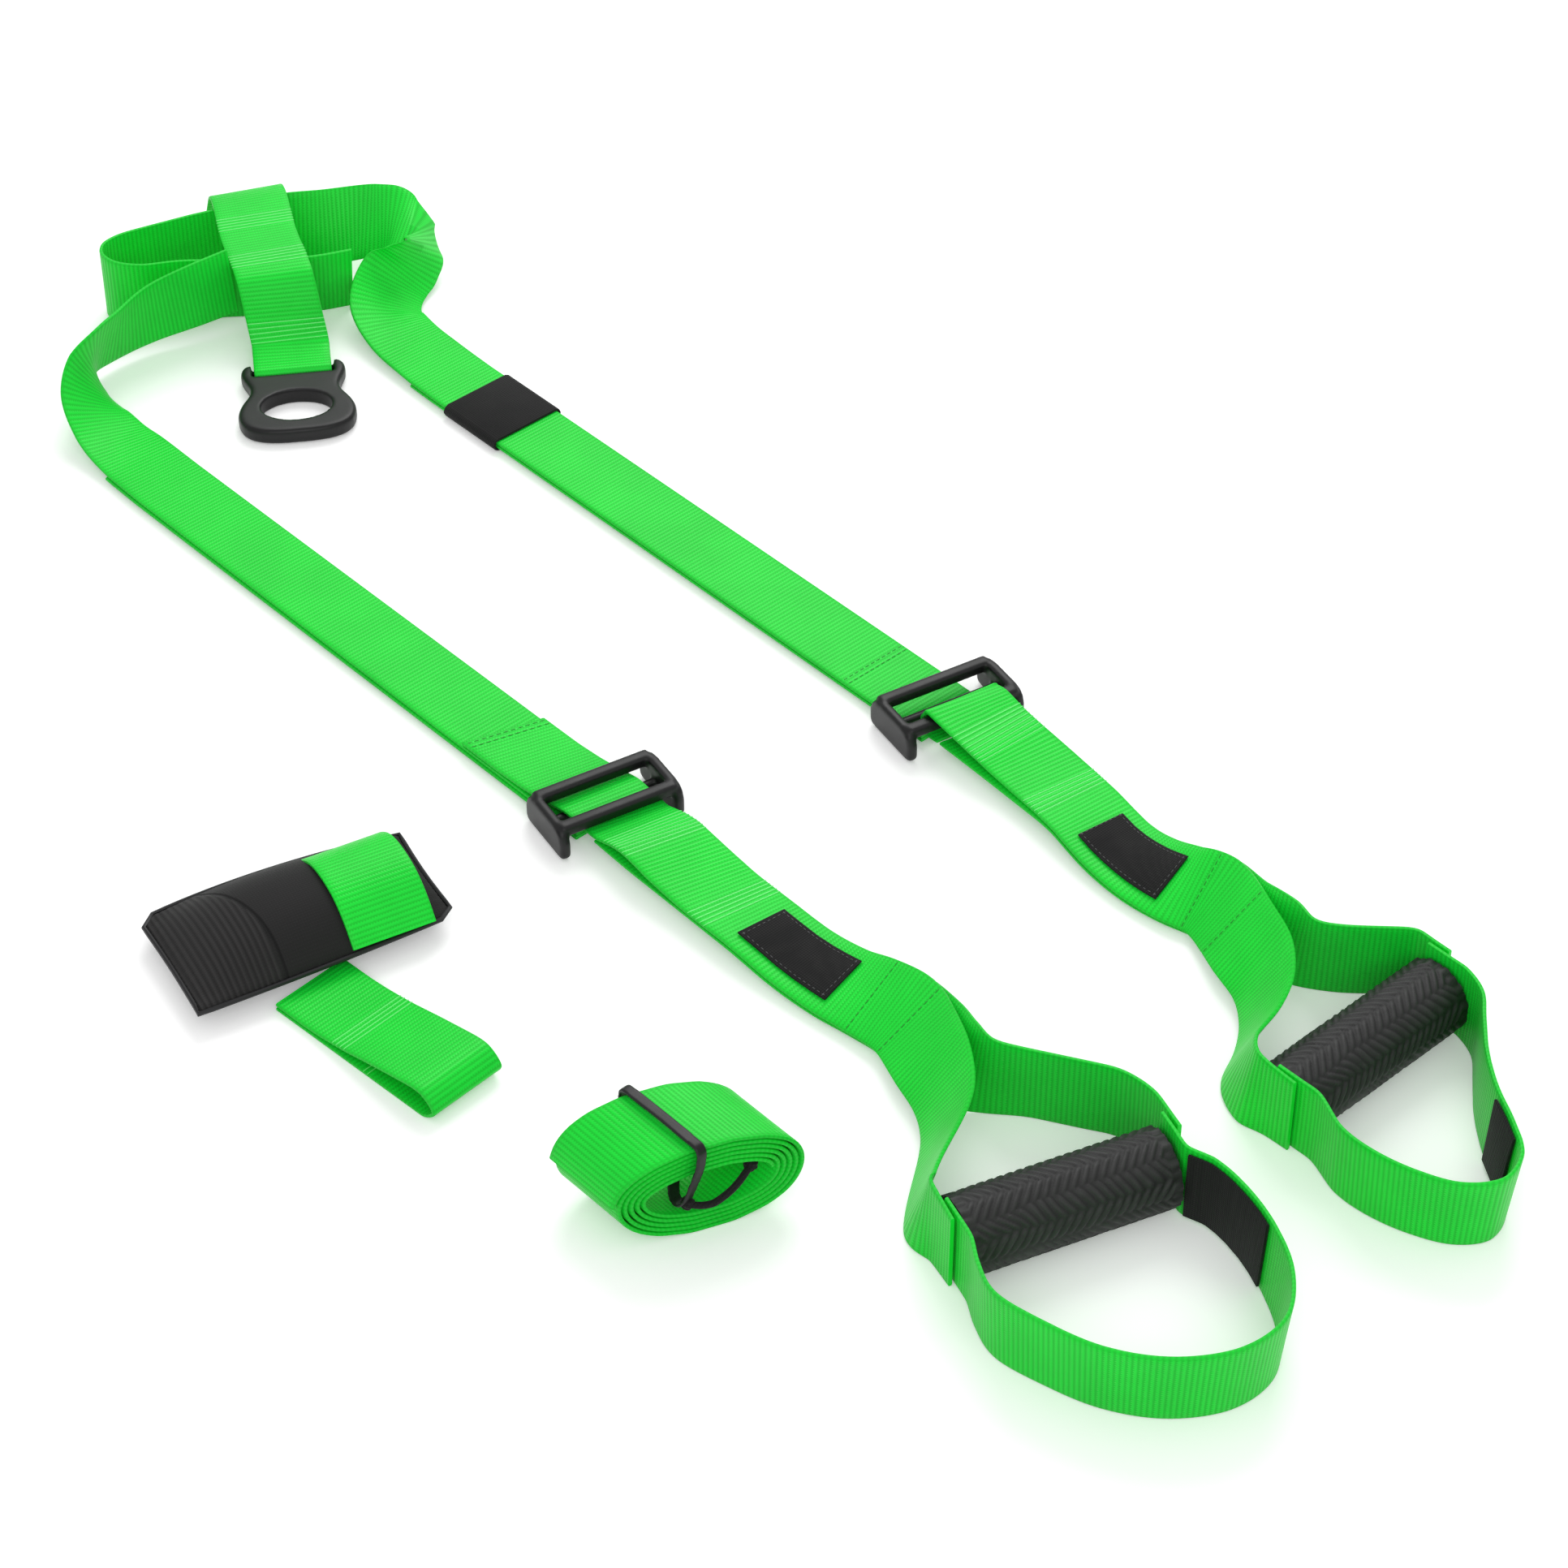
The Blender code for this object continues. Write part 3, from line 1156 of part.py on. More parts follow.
def build_roll(root):
    """The rolled extension strap and the tie round its windings."""
    x, y = ROLL_PLACE_SHARES
    stations = roll_route()
    bottom = min(item.point.z for item in stations) - WEB_THICKNESS / 2
    top = max(item.point.z for item in stations) + WEB_THICKNESS / 2
    place = LEFT_BUCKLE + Vector((x * WEB_WIDTH, y * WEB_WIDTH, 0))
    carrier = add_empty("extension_roll_lift", place, root)
    frame = frame_at(place, ROLL_HEADING)
    raised = frame @ Matrix.Translation((0, 0, -bottom))
    turn = raised.to_3x3()
    placed = [
        item._replace(point=raised @ item.point, tangent=turn @ item.tangent,
                      width=turn @ item.width, normal=turn @ item.normal)
        for item in stations
    ]
    print(f"extension_strap: least gap between turns {least_gap(stations) / MM:.2f} mm")
    add_piece("extension_strap", sweep(placed), GREEN, carrier)
    height = top - bottom
    length = max(item.point.x for item in stations) - min(item.point.x for item in stations)
    knots = []
    for across, along, up in TIE_SHARES:
        spot = Vector((along * length, across * WEB_WIDTH + ROLL_SHEAR_SHARE * along * length, up * height))
        knots.append(knot(frame @ spot, 0, width=turn @ Vector((1, 0, 0))))
    route = lay_route(knots)
    add_piece("roll_tie", sweep(pick(route, thin(route)), TIE_WIDTH, TIE_THICKNESS), BLACK_PLASTIC, carrier)


def centre_over_floor(root):
    """Stand the part on the floor with its middle over the origin."""
    bpy.context.view_layer.update()
    graph = bpy.context.evaluated_depsgraph_get()
    corners = []
    for piece in bpy.data.objects:
        if piece.type == "MESH" and not piece.hide_render:
            shape = piece.evaluated_get(graph)
            corners += [shape.matrix_world @ vert.co for vert in shape.data.vertices]
    low = Vector([min(corner[i] for corner in corners) for i in range(3)])
    high = Vector([max(corner[i] for corner in corners) for i in range(3)])
    root.location = Vector((-(low.x + high.x) / 2, -(low.y + high.y) / 2, -low.z))
    bpy.context.view_layer.update()


def build():
    """Make every piece and centre the part."""
    for old in list(bpy.data.objects):
        bpy.data.objects.remove(old)
    root = add_empty("suspension_trainer", (0, 0, 0))
    build_legs(root)
    build_top(root)
    build_anchor(root)
    build_keeper(root)
    left = (
        lambda buckle: sewn_knots(buckle, LEFT_TAIL_SHARES, SEWN_HEIGHT) + left_weave(buckle),
        LEFT_ARCH_SHARES, LEFT_FORK_SHARES, LEFT_GRIP_FROM_FORK_SHARES, LEFT_UPPER_BRANCH_SHARES,
        LEFT_UPPER_END_SHARES, LEFT_LOWER_BRANCH_SHARES, LEFT_LOWER_END_SHARES, LEFT_LOOP_SHARES,
        LEFT_PAD_REACH_SHARES,
    )
    right = (
        right_nose,
        RIGHT_ARCH_SHARES, RIGHT_FORK_SHARES, RIGHT_GRIP_FROM_FORK_SHARES, RIGHT_UPPER_BRANCH_SHARES,
        RIGHT_UPPER_END_SHARES, RIGHT_LOWER_BRANCH_SHARES, RIGHT_LOWER_END_SHARES, RIGHT_LOOP_SHARES,
        RIGHT_PAD_REACH_SHARES,
    )
    build_handle("left", LEFT_BUCKLE, LEFT_SEWN_LENGTH, left, LEFT_GRIP_HEADING, LEFT_LABEL_TO_FORK, root)
    build_handle("right", RIGHT_BUCKLE, RIGHT_SEWN_LENGTH, right, RIGHT_GRIP_HEADING, RIGHT_LABEL_TO_FORK, root)
    build_door_anchor(root)
    build_roll(root)
    centre_over_floor(root)


build()
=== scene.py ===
"""A suspension trainer laid out on a pale floor.

Two webbing legs run from a gathered bunch with its anchor ring down to two
adjusters, labels, Y forks, foam grips and foot loops. A padded door anchor
and a rolled extension strap lie beside them.
"""
import json
import logging
import math
from dataclasses import dataclass, field
from enum import Enum
from itertools import permutations

import bmesh
import bpy
import numpy as np
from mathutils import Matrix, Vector, noise
from mathutils.bvhtree import BVHTree


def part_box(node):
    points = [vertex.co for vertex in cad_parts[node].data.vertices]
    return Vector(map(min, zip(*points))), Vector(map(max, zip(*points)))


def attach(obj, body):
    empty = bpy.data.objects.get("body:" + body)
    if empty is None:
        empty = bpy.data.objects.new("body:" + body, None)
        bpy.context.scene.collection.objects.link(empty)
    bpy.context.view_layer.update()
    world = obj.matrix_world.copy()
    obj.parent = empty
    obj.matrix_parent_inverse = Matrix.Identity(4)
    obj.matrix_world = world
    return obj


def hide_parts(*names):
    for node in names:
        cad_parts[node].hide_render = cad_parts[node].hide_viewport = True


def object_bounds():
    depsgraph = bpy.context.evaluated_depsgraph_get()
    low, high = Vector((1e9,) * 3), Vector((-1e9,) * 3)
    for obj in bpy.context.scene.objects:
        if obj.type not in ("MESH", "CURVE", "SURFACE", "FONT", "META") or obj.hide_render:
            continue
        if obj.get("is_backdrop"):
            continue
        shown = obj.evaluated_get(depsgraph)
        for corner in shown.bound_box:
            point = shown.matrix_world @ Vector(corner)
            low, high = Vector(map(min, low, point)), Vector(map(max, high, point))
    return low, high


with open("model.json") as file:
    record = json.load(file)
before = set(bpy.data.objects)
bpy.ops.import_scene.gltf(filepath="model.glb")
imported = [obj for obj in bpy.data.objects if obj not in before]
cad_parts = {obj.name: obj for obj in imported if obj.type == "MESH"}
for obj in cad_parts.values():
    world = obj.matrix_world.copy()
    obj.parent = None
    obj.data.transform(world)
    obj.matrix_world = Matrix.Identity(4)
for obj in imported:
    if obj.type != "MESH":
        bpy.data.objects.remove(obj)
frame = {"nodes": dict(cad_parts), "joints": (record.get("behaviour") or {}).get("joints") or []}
CAD_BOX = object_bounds()
LOG = logging.getLogger("suspension_trainer")
MM = 0.001
UP = Vector((0, 0, 1))
WELD = 0.001 * MM  # corners of a CAD solid that lie closer than this are one
CORNER = math.radians(60)  # a strap's corners turn by more than this
FLAT = math.radians(2)  # the two faces of a strap's end meet at less than this
LOOKUPS = 2000  # places along a strap at which a spot is looked for

# A strap's cross section, round its edge: share of the half width, share of the half thickness.
SECTION = (
    (-1.0, 0.0), (-0.988, 0.72), (-0.95, 1.0), (-0.8, 0.96), (0.0, 0.93), (0.8, 0.96), (0.95, 1.0),
    (0.988, 0.72), (1.0, 0.0), (0.988, -0.72), (0.95, -1.0), (0.8, -0.96), (0.0, -0.93),
    (-0.8, -0.96), (-0.95, -1.0), (-0.988, -0.72),
)

# A stitch's outline: share of its half length, share of its radius.
STITCH = ((-1, 0.35), (-0.8, 0.9), (0, 1.1), (0.8, 0.9), (1, 0.35))

Mesh = bmesh.types.BMesh
Vert = bmesh.types.BMVert
Socket = bpy.types.NodeSocket


class Side(Enum):
    """Which of the two legs a piece belongs to."""

    LEFT = "left"
    RIGHT = "right"

    def node(self, part: str) -> str:
        """The name of a part on this side."""
        return f"{self.value}_{part}"


class Slot(Enum):
    """The finishes that the record names."""

    WEBBING = "webbing"
    NYLON = "moulded_nylon"
    FABRIC = "black_fabric"
    FOAM = "grip_foam"


def linear(colour: str) -> tuple[float, float, float, float]:
    """Turns an sRGB hex colour to linear light.

    Args:
        colour: Six hex digits after a hash sign.

    Returns:
        Red, green, blue and an alpha of one.
    """
    parts = [int(colour[i:i + 2], 16) / 255 for i in (1, 3, 5)]
    curve = [c / 12.92 if c <= 0.04045 else ((c + 0.055) / 1.055) ** 2.4 for c in parts]
    return (curve[0], curve[1], curve[2], 1.0)


def add_node(
    tree: bpy.types.NodeTree,
    kind: str,
    settings: dict[str, object] | None = None,
    links: dict[str | int, object] | None = None,
) -> bpy.types.Node:
    """Adds one shader node with its settings and links.

    Args:
        tree: The node tree that gets the node.
        kind: The node's type name after "ShaderNode".
        settings: Attribute names and values.
        links: Input names or numbers, each with a socket to link or a value.

    Returns:
        The new node.
    """
    made = tree.nodes.new("ShaderNode" + kind)
    for name, value in (settings or {}).items():
        setattr(made, name, value)
    for key, value in (links or {}).items():
        if isinstance(value, Socket):
            tree.links.new(value, made.inputs[key])
        else:
            made.inputs[key].default_value = value
    return made


@dataclass(frozen=True)
class Graph:
    """A node tree, with a short call for each kind of node that the finishes use."""

    tree: bpy.types.NodeTree

    def wire(self, name: str, socket: Socket) -> None:
        """Leads a socket into one of the main shader's inputs."""
        self.tree.links.new(socket, self.tree.nodes["Principled BSDF"].inputs[name])

    def place(self) -> Socket:
        """The point's place in the object's own space, in metres."""
        return add_node(self.tree, "TexCoord").outputs["Object"]

    def parts(self, vector: Socket) -> tuple[Socket, ...]:
        """A vector's X, Y and Z."""
        return tuple(add_node(self.tree, "SeparateXYZ", None, {0: vector}).outputs)

    def run(self) -> tuple[Socket, ...]:
        """The piece's own map: along and across a strap in metres, or a relief's height as Y."""
        return self.parts(add_node(self.tree, "UVMap", {"uv_map": "run"}).outputs[0])

    def maths(self, operation: str, *values: Socket | float) -> Socket:
        """The result of one Math node."""
        node = add_node(self.tree, "Math", {"operation": operation}, dict(enumerate(values)))
        return node.outputs[0]

    def spread(
        self, value: Socket, low: float = 0.0, high: float = 1.0, to_low: float = 0.0,
        to_high: float = 1.0, kind: str = "LINEAR",
    ) -> Socket:
        """Maps one range of values to another and holds it at both ends.

        Args:
            value: The socket that gives the value.
            low: Where the range starts.
            high: Where the range ends.
            to_low: The result at its start.
            to_high: The result at its end.
            kind: The curve between the two.

        Returns:
            The socket that gives the result.
        """
        links = {
            "Value": value, "From Min": low, "From Max": high, "To Min": to_low, "To Max": to_high
        }
        return add_node(self.tree, "MapRange", {"interpolation_type": kind}, links).outputs[0]

    def cloud(self, scale: float, detail: float) -> Socket:
        """Soft noise in the object's own space."""
        links = {"Vector": self.place(), "Scale": scale, "Detail": detail}
        return add_node(self.tree, "TexNoise", None, links).outputs["Fac"]

    def blend(self, level: Socket, low: str, high: str) -> Socket:
        """A colour that is low's at level 0 and high's at 1."""
        links = {"Factor": level, 6: linear(low), 7: linear(high)}
        return add_node(self.tree, "Mix", {"data_type": "RGBA"}, links).outputs[2]

    def emboss(self, height: Socket, depth: float, strength: float) -> None:
        """Bends the surface by a height, of which 1 stands for depth in metres."""
        links = {"Strength": strength, "Distance": depth, "Height": height}
        self.wire("Normal", add_node(self.tree, "Bump", None, links).outputs[0])

    def wave(self, along: Socket, pitch: float, shift: Socket | float = 0.0) -> Socket:
        """Draws a wave from 0 to 1 along a length.

        Args:
            along: The socket that gives the length in metres.
            pitch: The length of one wave in metres.
            shift: A socket or a value added to the wave's angle.

        Returns:
            The socket that gives the wave.
        """
        angle = self.maths("MULTIPLY_ADD", along, 2 * math.pi / pitch, shift)
        return self.maths("MULTIPLY_ADD", self.maths("SINE", angle), 0.5, 0.5)


@dataclass(frozen=True)
class Finish:
    """What every finish holds: its name, its colour, and how it shines."""

    name: str
    colour: str
    roughness: float
    specular: float = 0.5
    sheen: float = 0.0
    sheen_roughness: float = 0.5
    sheen_tint: str = "#FFFFFF"
    relief: float = 0.05 * MM
    strength: float = 0.3

    def build(self) -> bpy.types.Material:
        """Makes the material, with the finish's own values on its main shader.

        Returns:
            The material.
        """
        material = bpy.data.materials.new(self.name)
        material.use_nodes = True
        shader = material.node_tree.nodes["Principled BSDF"]
        for socket, value in (
            ("Base Color", linear(self.colour)),
            ("Roughness", self.roughness),
            ("Specular IOR Level", self.specular),
            ("Sheen Weight", self.sheen),
            ("Sheen Roughness", self.sheen_roughness),
            ("Sheen Tint", linear(self.sheen_tint)),
        ):
            shader.inputs[socket].default_value = value
        self.dress(Graph(material.node_tree))
        return material

    def dress(self, graph: Graph) -> None:
        """Adds the nodes that the finish's own class describes."""
        raise NotImplementedError


@dataclass(frozen=True)
class WovenPolyester(Finish):
    """Polyester webbing: weft ribs run across the strap, fine warp ends along it."""

    specular: float = 0.25
    sheen: float = 0.04
    sheen_roughness: float = 0.45
    sheen_tint: str = "#C8FFC0"
    relief: float = 0.2 * MM
    strength: float = 0.6
    # painted shade: the colour down in the rib valleys, darker than the thread tops
    painted_valley_shade: str = "#0AC028"
    rib_pitch: float = 2.2 * MM  # real ribs lie about 1.5 mm apart, drawn coarser to show
    warp_pitch: float = 1.3 * MM  # real ends lie about 0.6 mm apart, drawn coarser to show
    rib_bow: float = 1.1  # radians by which a rib bows between two warp ends
    selvedge: tuple[float, float] = (17.0 * MM, 18.7 * MM)  # the ribs die away between these two
    selvedge_share: float = 0.35
    warp_share: float = 0.22
    fuzz_share: float = 0.35
    fuzz_scale: float = 1400.0
    wear_scale: float = 38.0
    wear: tuple[float, float] = (0.93, 1.05)
    valley_dullness: float = 0.15

    def dress(self, graph: Graph) -> None:
        """Weaves ribs over warp ends, with fuzz, patches of wear, duller valleys, and painted shade
        that darkens the valleys against the thread tops.

        Args:
            graph: The material's nodes.
        """
        along, across, _ = graph.run()
        warp = graph.wave(across, self.warp_pitch)
        rib = graph.wave(along, self.rib_pitch, graph.maths("MULTIPLY", warp, self.rib_bow))
        aside = graph.maths("ABSOLUTE", across)
        inside = graph.spread(aside, *self.selvedge, 1.0, self.selvedge_share, "SMOOTHSTEP")
        ribs = graph.maths("MULTIPLY", rib, inside)
        thread = graph.maths("MULTIPLY_ADD", warp, self.warp_share, ribs)
        fuzz = graph.cloud(self.fuzz_scale, 1.0)
        height = graph.maths("MULTIPLY_ADD", fuzz, self.fuzz_share, thread)
        level = graph.spread(height)
        tone = graph.spread(graph.cloud(self.wear_scale, 3.0), 0.3, 0.7, *self.wear)
        # Painted shade: the colour darkens from the thread tops down into the valleys between them.
        valley_shaded_colour = graph.blend(level, self.painted_valley_shade, self.colour)
        aged = add_node(graph.tree, "HueSaturation", None, {"Value": tone, "Color": valley_shaded_colour})
        dull = self.roughness + self.valley_dullness
        graph.wire("Base Color", aged.outputs[0])
        graph.wire("Roughness", graph.spread(level, 0.0, 1.0, dull, self.roughness))
        graph.emboss(height, self.relief, self.strength)


@dataclass(frozen=True)
class MouldedNylon(Finish):
    """Glass-filled nylon from a spark-eroded mould: satin black, with a highlight painted paler
    along its edges.
    """

    specular: float = 0.35
    relief: float = 0.06 * MM
    strength: float = 0.35
    painted_edge_highlight: str = "#2B2B2E"
    highlight_pointiness: tuple[float, float] = (0.52, 0.62)
    highlight_share: float = 0.8
    grain: float = 0.7 * MM
    cloud_scale: float = 60.0
    gloss: tuple[float, float] = (-0.08, 0.1)

    def dress(self, graph: Graph) -> None:
        """Adds the mould's grain, a highlight painted paler along the edges, and a clouded gloss.

        Args:
            graph: The material's nodes.
        """
        edges = add_node(graph.tree, "NewGeometry").outputs["Pointiness"]
        # Painted highlight: the colour grows paler where the surface turns sharply, along the
        # edges.
        wear_and_highlight = graph.spread(edges, *self.highlight_pointiness, 0.0, self.highlight_share)
        low, high = (self.roughness + change for change in self.gloss)
        cloud = graph.cloud(self.cloud_scale, 2.0)
        graph.wire("Base Color", graph.blend(wear_and_highlight, self.colour, self.painted_edge_highlight))
        graph.wire("Roughness", graph.spread(cloud, 0.0, 1.0, low, high))
        graph.emboss(graph.cloud(1 / self.grain, 2.0), self.relief, self.strength)


@dataclass(frozen=True)
class WovenNylon(Finish):
    """Black nylon cloth: a plain weave whose thread crossings catch a soft light."""

    specular: float = 0.3
    sheen: float = 0.05
    relief: float = 0.15 * MM
    strength: float = 0.6
    # painted highlight: the colour of the threads on top
    raised_highlight: str = "#1F1E1E"
    thread_pitch: float = 1.1 * MM  # real threads lie about 0.4 mm apart, drawn coarser to show
    highlight_cloud_scale: float = 90.0

    def dress(self, graph: Graph) -> None:
        """Crosses the threads and paints a clouded highlight on the ones on top.

        Args:
            graph: The material's nodes.
        """
        across, along, rise = (
            graph.wave(part, self.thread_pitch) for part in graph.parts(graph.place())
        )
        weave = graph.maths("ADD", along, graph.maths("MULTIPLY", across, rise))
        level = graph.maths("MULTIPLY", weave, graph.cloud(self.highlight_cloud_scale, 4.0))
        # Painted highlight: the threads on top are paler, in clouded patches.
        graph.wire("Base Color", graph.blend(level, self.colour, self.raised_highlight))
        graph.emboss(weave, self.relief, self.strength)


@dataclass(frozen=True)
class QuiltedNylon(Finish):
    """Black nylon cloth over padding: one end panel is corded, a bowed seam closes it off."""

    specular: float = 0.3
    sheen: float = 0.05
    relief: float = 0.35 * MM
    strength: float = 0.8
    # painted highlight: the colour of the cords' and threads' tops; the darker colour in the seam's
    # groove is painted shade
    raised_highlight: str = "#2A2929"
    highlight_heights: tuple[float, float] = (1.5, 4.3)
    cord_pitch: float = 2.7 * MM
    cord_height: float = 1.8
    thread_pitch: float = 1.2 * MM  # real threads lie about 0.5 mm apart, drawn coarser to show
    thread_height: float = 0.25
    seam_place: float = -21.0 * MM
    seam_slope: float = -0.23
    seam_bow: float = -4.4  # per metre
    seam_reach: float = 1.6 * MM
    seam_depth: float = 2.5

    def dress(self, graph: Graph) -> None:
        """Lays the seam's curve, the cords before it, its groove and the weave over all, with a
        highlight painted on their tops and shade painted in the groove.

        Args:
            graph: The material's nodes.
        """
        along, across, _ = graph.run()
        lean = graph.maths("MULTIPLY_ADD", across, self.seam_bow, self.seam_slope)
        seam = graph.maths("MULTIPLY_ADD", lean, across, self.seam_place)
        beyond = graph.maths("SUBTRACT", along, seam)
        panel = graph.maths("LESS_THAN", beyond, 0.0)
        ridges = graph.maths("MULTIPLY", graph.wave(along, self.cord_pitch), self.cord_height)
        corded = graph.maths("MULTIPLY", ridges, panel)
        weave = graph.maths("MULTIPLY", *(
            graph.wave(way, self.thread_pitch) for way in (along, across)
        ))
        away = graph.maths("ABSOLUTE", beyond)
        groove = graph.spread(away, 0.0, self.seam_reach, 0.0, self.seam_depth, "SMOOTHSTEP")
        thread = graph.maths("MULTIPLY_ADD", weave, self.thread_height, groove)
        height = graph.maths("ADD", thread, corded)
        level = graph.spread(height, *self.highlight_heights)
        # Painted highlight and shade: paler on the tops of the cords and threads, darker down in
        # the seam's groove.
        graph.wire("Base Color", graph.blend(level, self.colour, self.raised_highlight))
        graph.emboss(height, self.relief, self.strength)


@dataclass(frozen=True)
class ClosedCellFoam(Finish):
    """Skinned rubber foam with a pressed weave: dull black, with a highlight painted on its
    upstanding strands.
    """

    relief: float = 0.08 * MM
    strength: float = 0.4
    # painted highlight: the colour of the strands' tops
    raised_highlight: str = "#363636"
    cell: float = 0.8 * MM
    cloud_scale: float = 120.0

    def dress(self, graph: Graph) -> None:
        """Paints a highlight on the upstanding strands, which the piece's map gives, and pits the
        skin with cells.

        Args:
            graph: The material's nodes.
        """
        links = {"Vector": graph.place(), "Scale": 1 / self.cell}
        cells = add_node(graph.tree, "TexVoronoi", None, links)
        level = graph.maths("MULTIPLY", graph.run()[1], graph.cloud(self.cloud_scale, 3.0))
        # Painted highlight: paler where the relief stands high, in clouded patches.
        graph.wire("Base Color", graph.blend(level, self.colour, self.raised_highlight))
        graph.emboss(cells.outputs["Distance"], self.relief, self.strength)


@dataclass(frozen=True)
class ExtrudedTube(Finish):
    """Extruded polypropylene tube: smooth dark grey with faint draw lines along it."""

    strength: float = 0.2
    line_pitch: float = 0.9 * MM

    def dress(self, graph: Graph) -> None:
        """Draws the die's lines."""
        lines = graph.wave(graph.parts(graph.place())[2], self.line_pitch)
        graph.emboss(lines, self.relief, self.strength)


@dataclass(frozen=True)
class SewingThread(Finish):
    """Bonded polyester thread: two plies twisted, a little shinier than the cloth under it."""

    twist: float = 0.6 * MM
    slant: float = 9000.0  # radians per metre across the strap

    def dress(self, graph: Graph) -> None:
        """Twists the plies.

        Args:
            graph: The material's nodes.
        """
        x, y, _ = graph.parts(graph.place())
        plies = graph.wave(x, self.twist, graph.maths("MULTIPLY", y, self.slant))
        graph.emboss(plies, self.relief, self.strength)


@dataclass(frozen=True)
class StudioPaper(Finish):
    """Seamless paper: the camera sees it white, the object gets only its dimmer bounce."""

    specular: float = 0.0
    bounce: str = "#D8D8D8"
    lift: float = 0.22

    def dress(self, graph: Graph) -> None:
        """Lifts the paper to white for the rays that come from the camera or a gloss.

        Args:
            graph: The material's nodes.
        """
        rays = add_node(graph.tree, "LightPath").outputs
        seen = graph.maths("MAXIMUM", rays["Is Camera Ray"], rays["Is Glossy Ray"])
        graph.wire("Base Color", graph.blend(seen, self.bounce, self.colour))
        graph.wire("Emission Strength", graph.maths("MULTIPLY", seen, self.lift))
        shader = graph.tree.nodes["Principled BSDF"]
        shader.inputs["Emission Color"].default_value = linear(self.colour)


def solid(node: str) -> Mesh:
    """Reads a CAD solid as one closed mesh.

    Args:
        node: The CAD node's name.

    Returns:
        A mesh of its own, with its corners welded.
    """
    shape = bmesh.new()
    shape.from_mesh(frame["nodes"][node].data)
    bmesh.ops.remove_doubles(shape, verts=shape.verts, dist=WELD)
    return shape


def ring(
    shape: Mesh, middle: Vector, side: Vector, up: Vector, radius: float, sides: int
) -> list[Vert]:
    """Adds the points of one ring.

    Args:
        shape: The mesh that gets them.
        middle: The ring's middle.
        side: The direction of its first point.
        up: The direction a quarter of a turn on.
        radius: Its radius in metres.
        sides: How many points it has.

    Returns:
        The points in order.
    """
    angles = [2 * math.pi * i / sides for i in range(sides)]
    return [
        shape.verts.new(middle + (side * math.cos(angle) + up * math.sin(angle)) * radius)
        for angle in angles
    ]


def skin(shape: Mesh, rings: list[list[Vert]], closed: bool = False) -> None:
    """Joins each ring to the next with faces.

    Args:
        shape: The mesh that holds the rings.
        rings: The rings in order, each with as many points as the next.
        closed: Whether the last ring joins the first, else both ends are capped.
    """
    after = [*rings[1:], rings[0]] if closed else rings[1:]
    for a, b in zip(rings, after):
        for j in range(len(a)):
            k = (j + 1) % len(a)
            shape.faces.new((a[j], a[k], b[k], b[j]))
    if not closed:
        shape.faces.new(rings[0][::-1])
        shape.faces.new(rings[-1])


def hose(points: list[Vector], radius: float, sides: int, closed: bool = False) -> Mesh:
    """Makes a round tube along a line of points.

    Args:
        points: The line, in order.
        radius: The tube's radius in metres.
        sides: How many points each of its rings has.
        closed: Whether the line's end joins its start.

    Returns:
        The tube's mesh.
    """
    ends = (points[-1], points[0]) if closed else (points[0], points[-1])
    line = [ends[0], *points, ends[1]]
    shape = bmesh.new()
    rings = []
    for before, point, after in zip(line, points, line[2:]):
        along = (after - before).normalized()
        side = along.cross(UP).normalized()
        rings.append(ring(shape, point, side, side.cross(along), radius, sides))
    skin(shape, rings, closed)
    bmesh.ops.recalc_face_normals(shape, faces=shape.faces)
    return shape


def paint(shape: Mesh, spots: dict[Vert, tuple[float, float]]) -> None:
    """Writes the "run" map of a mesh.

    Args:
        shape: The mesh.
        spots: Each point's place on the map.
    """
    layer = shape.loops.layers.uv.new("run")
    for face in shape.faces:
        for loop in face.loops:
            loop[layer].uv = spots[loop.vert]


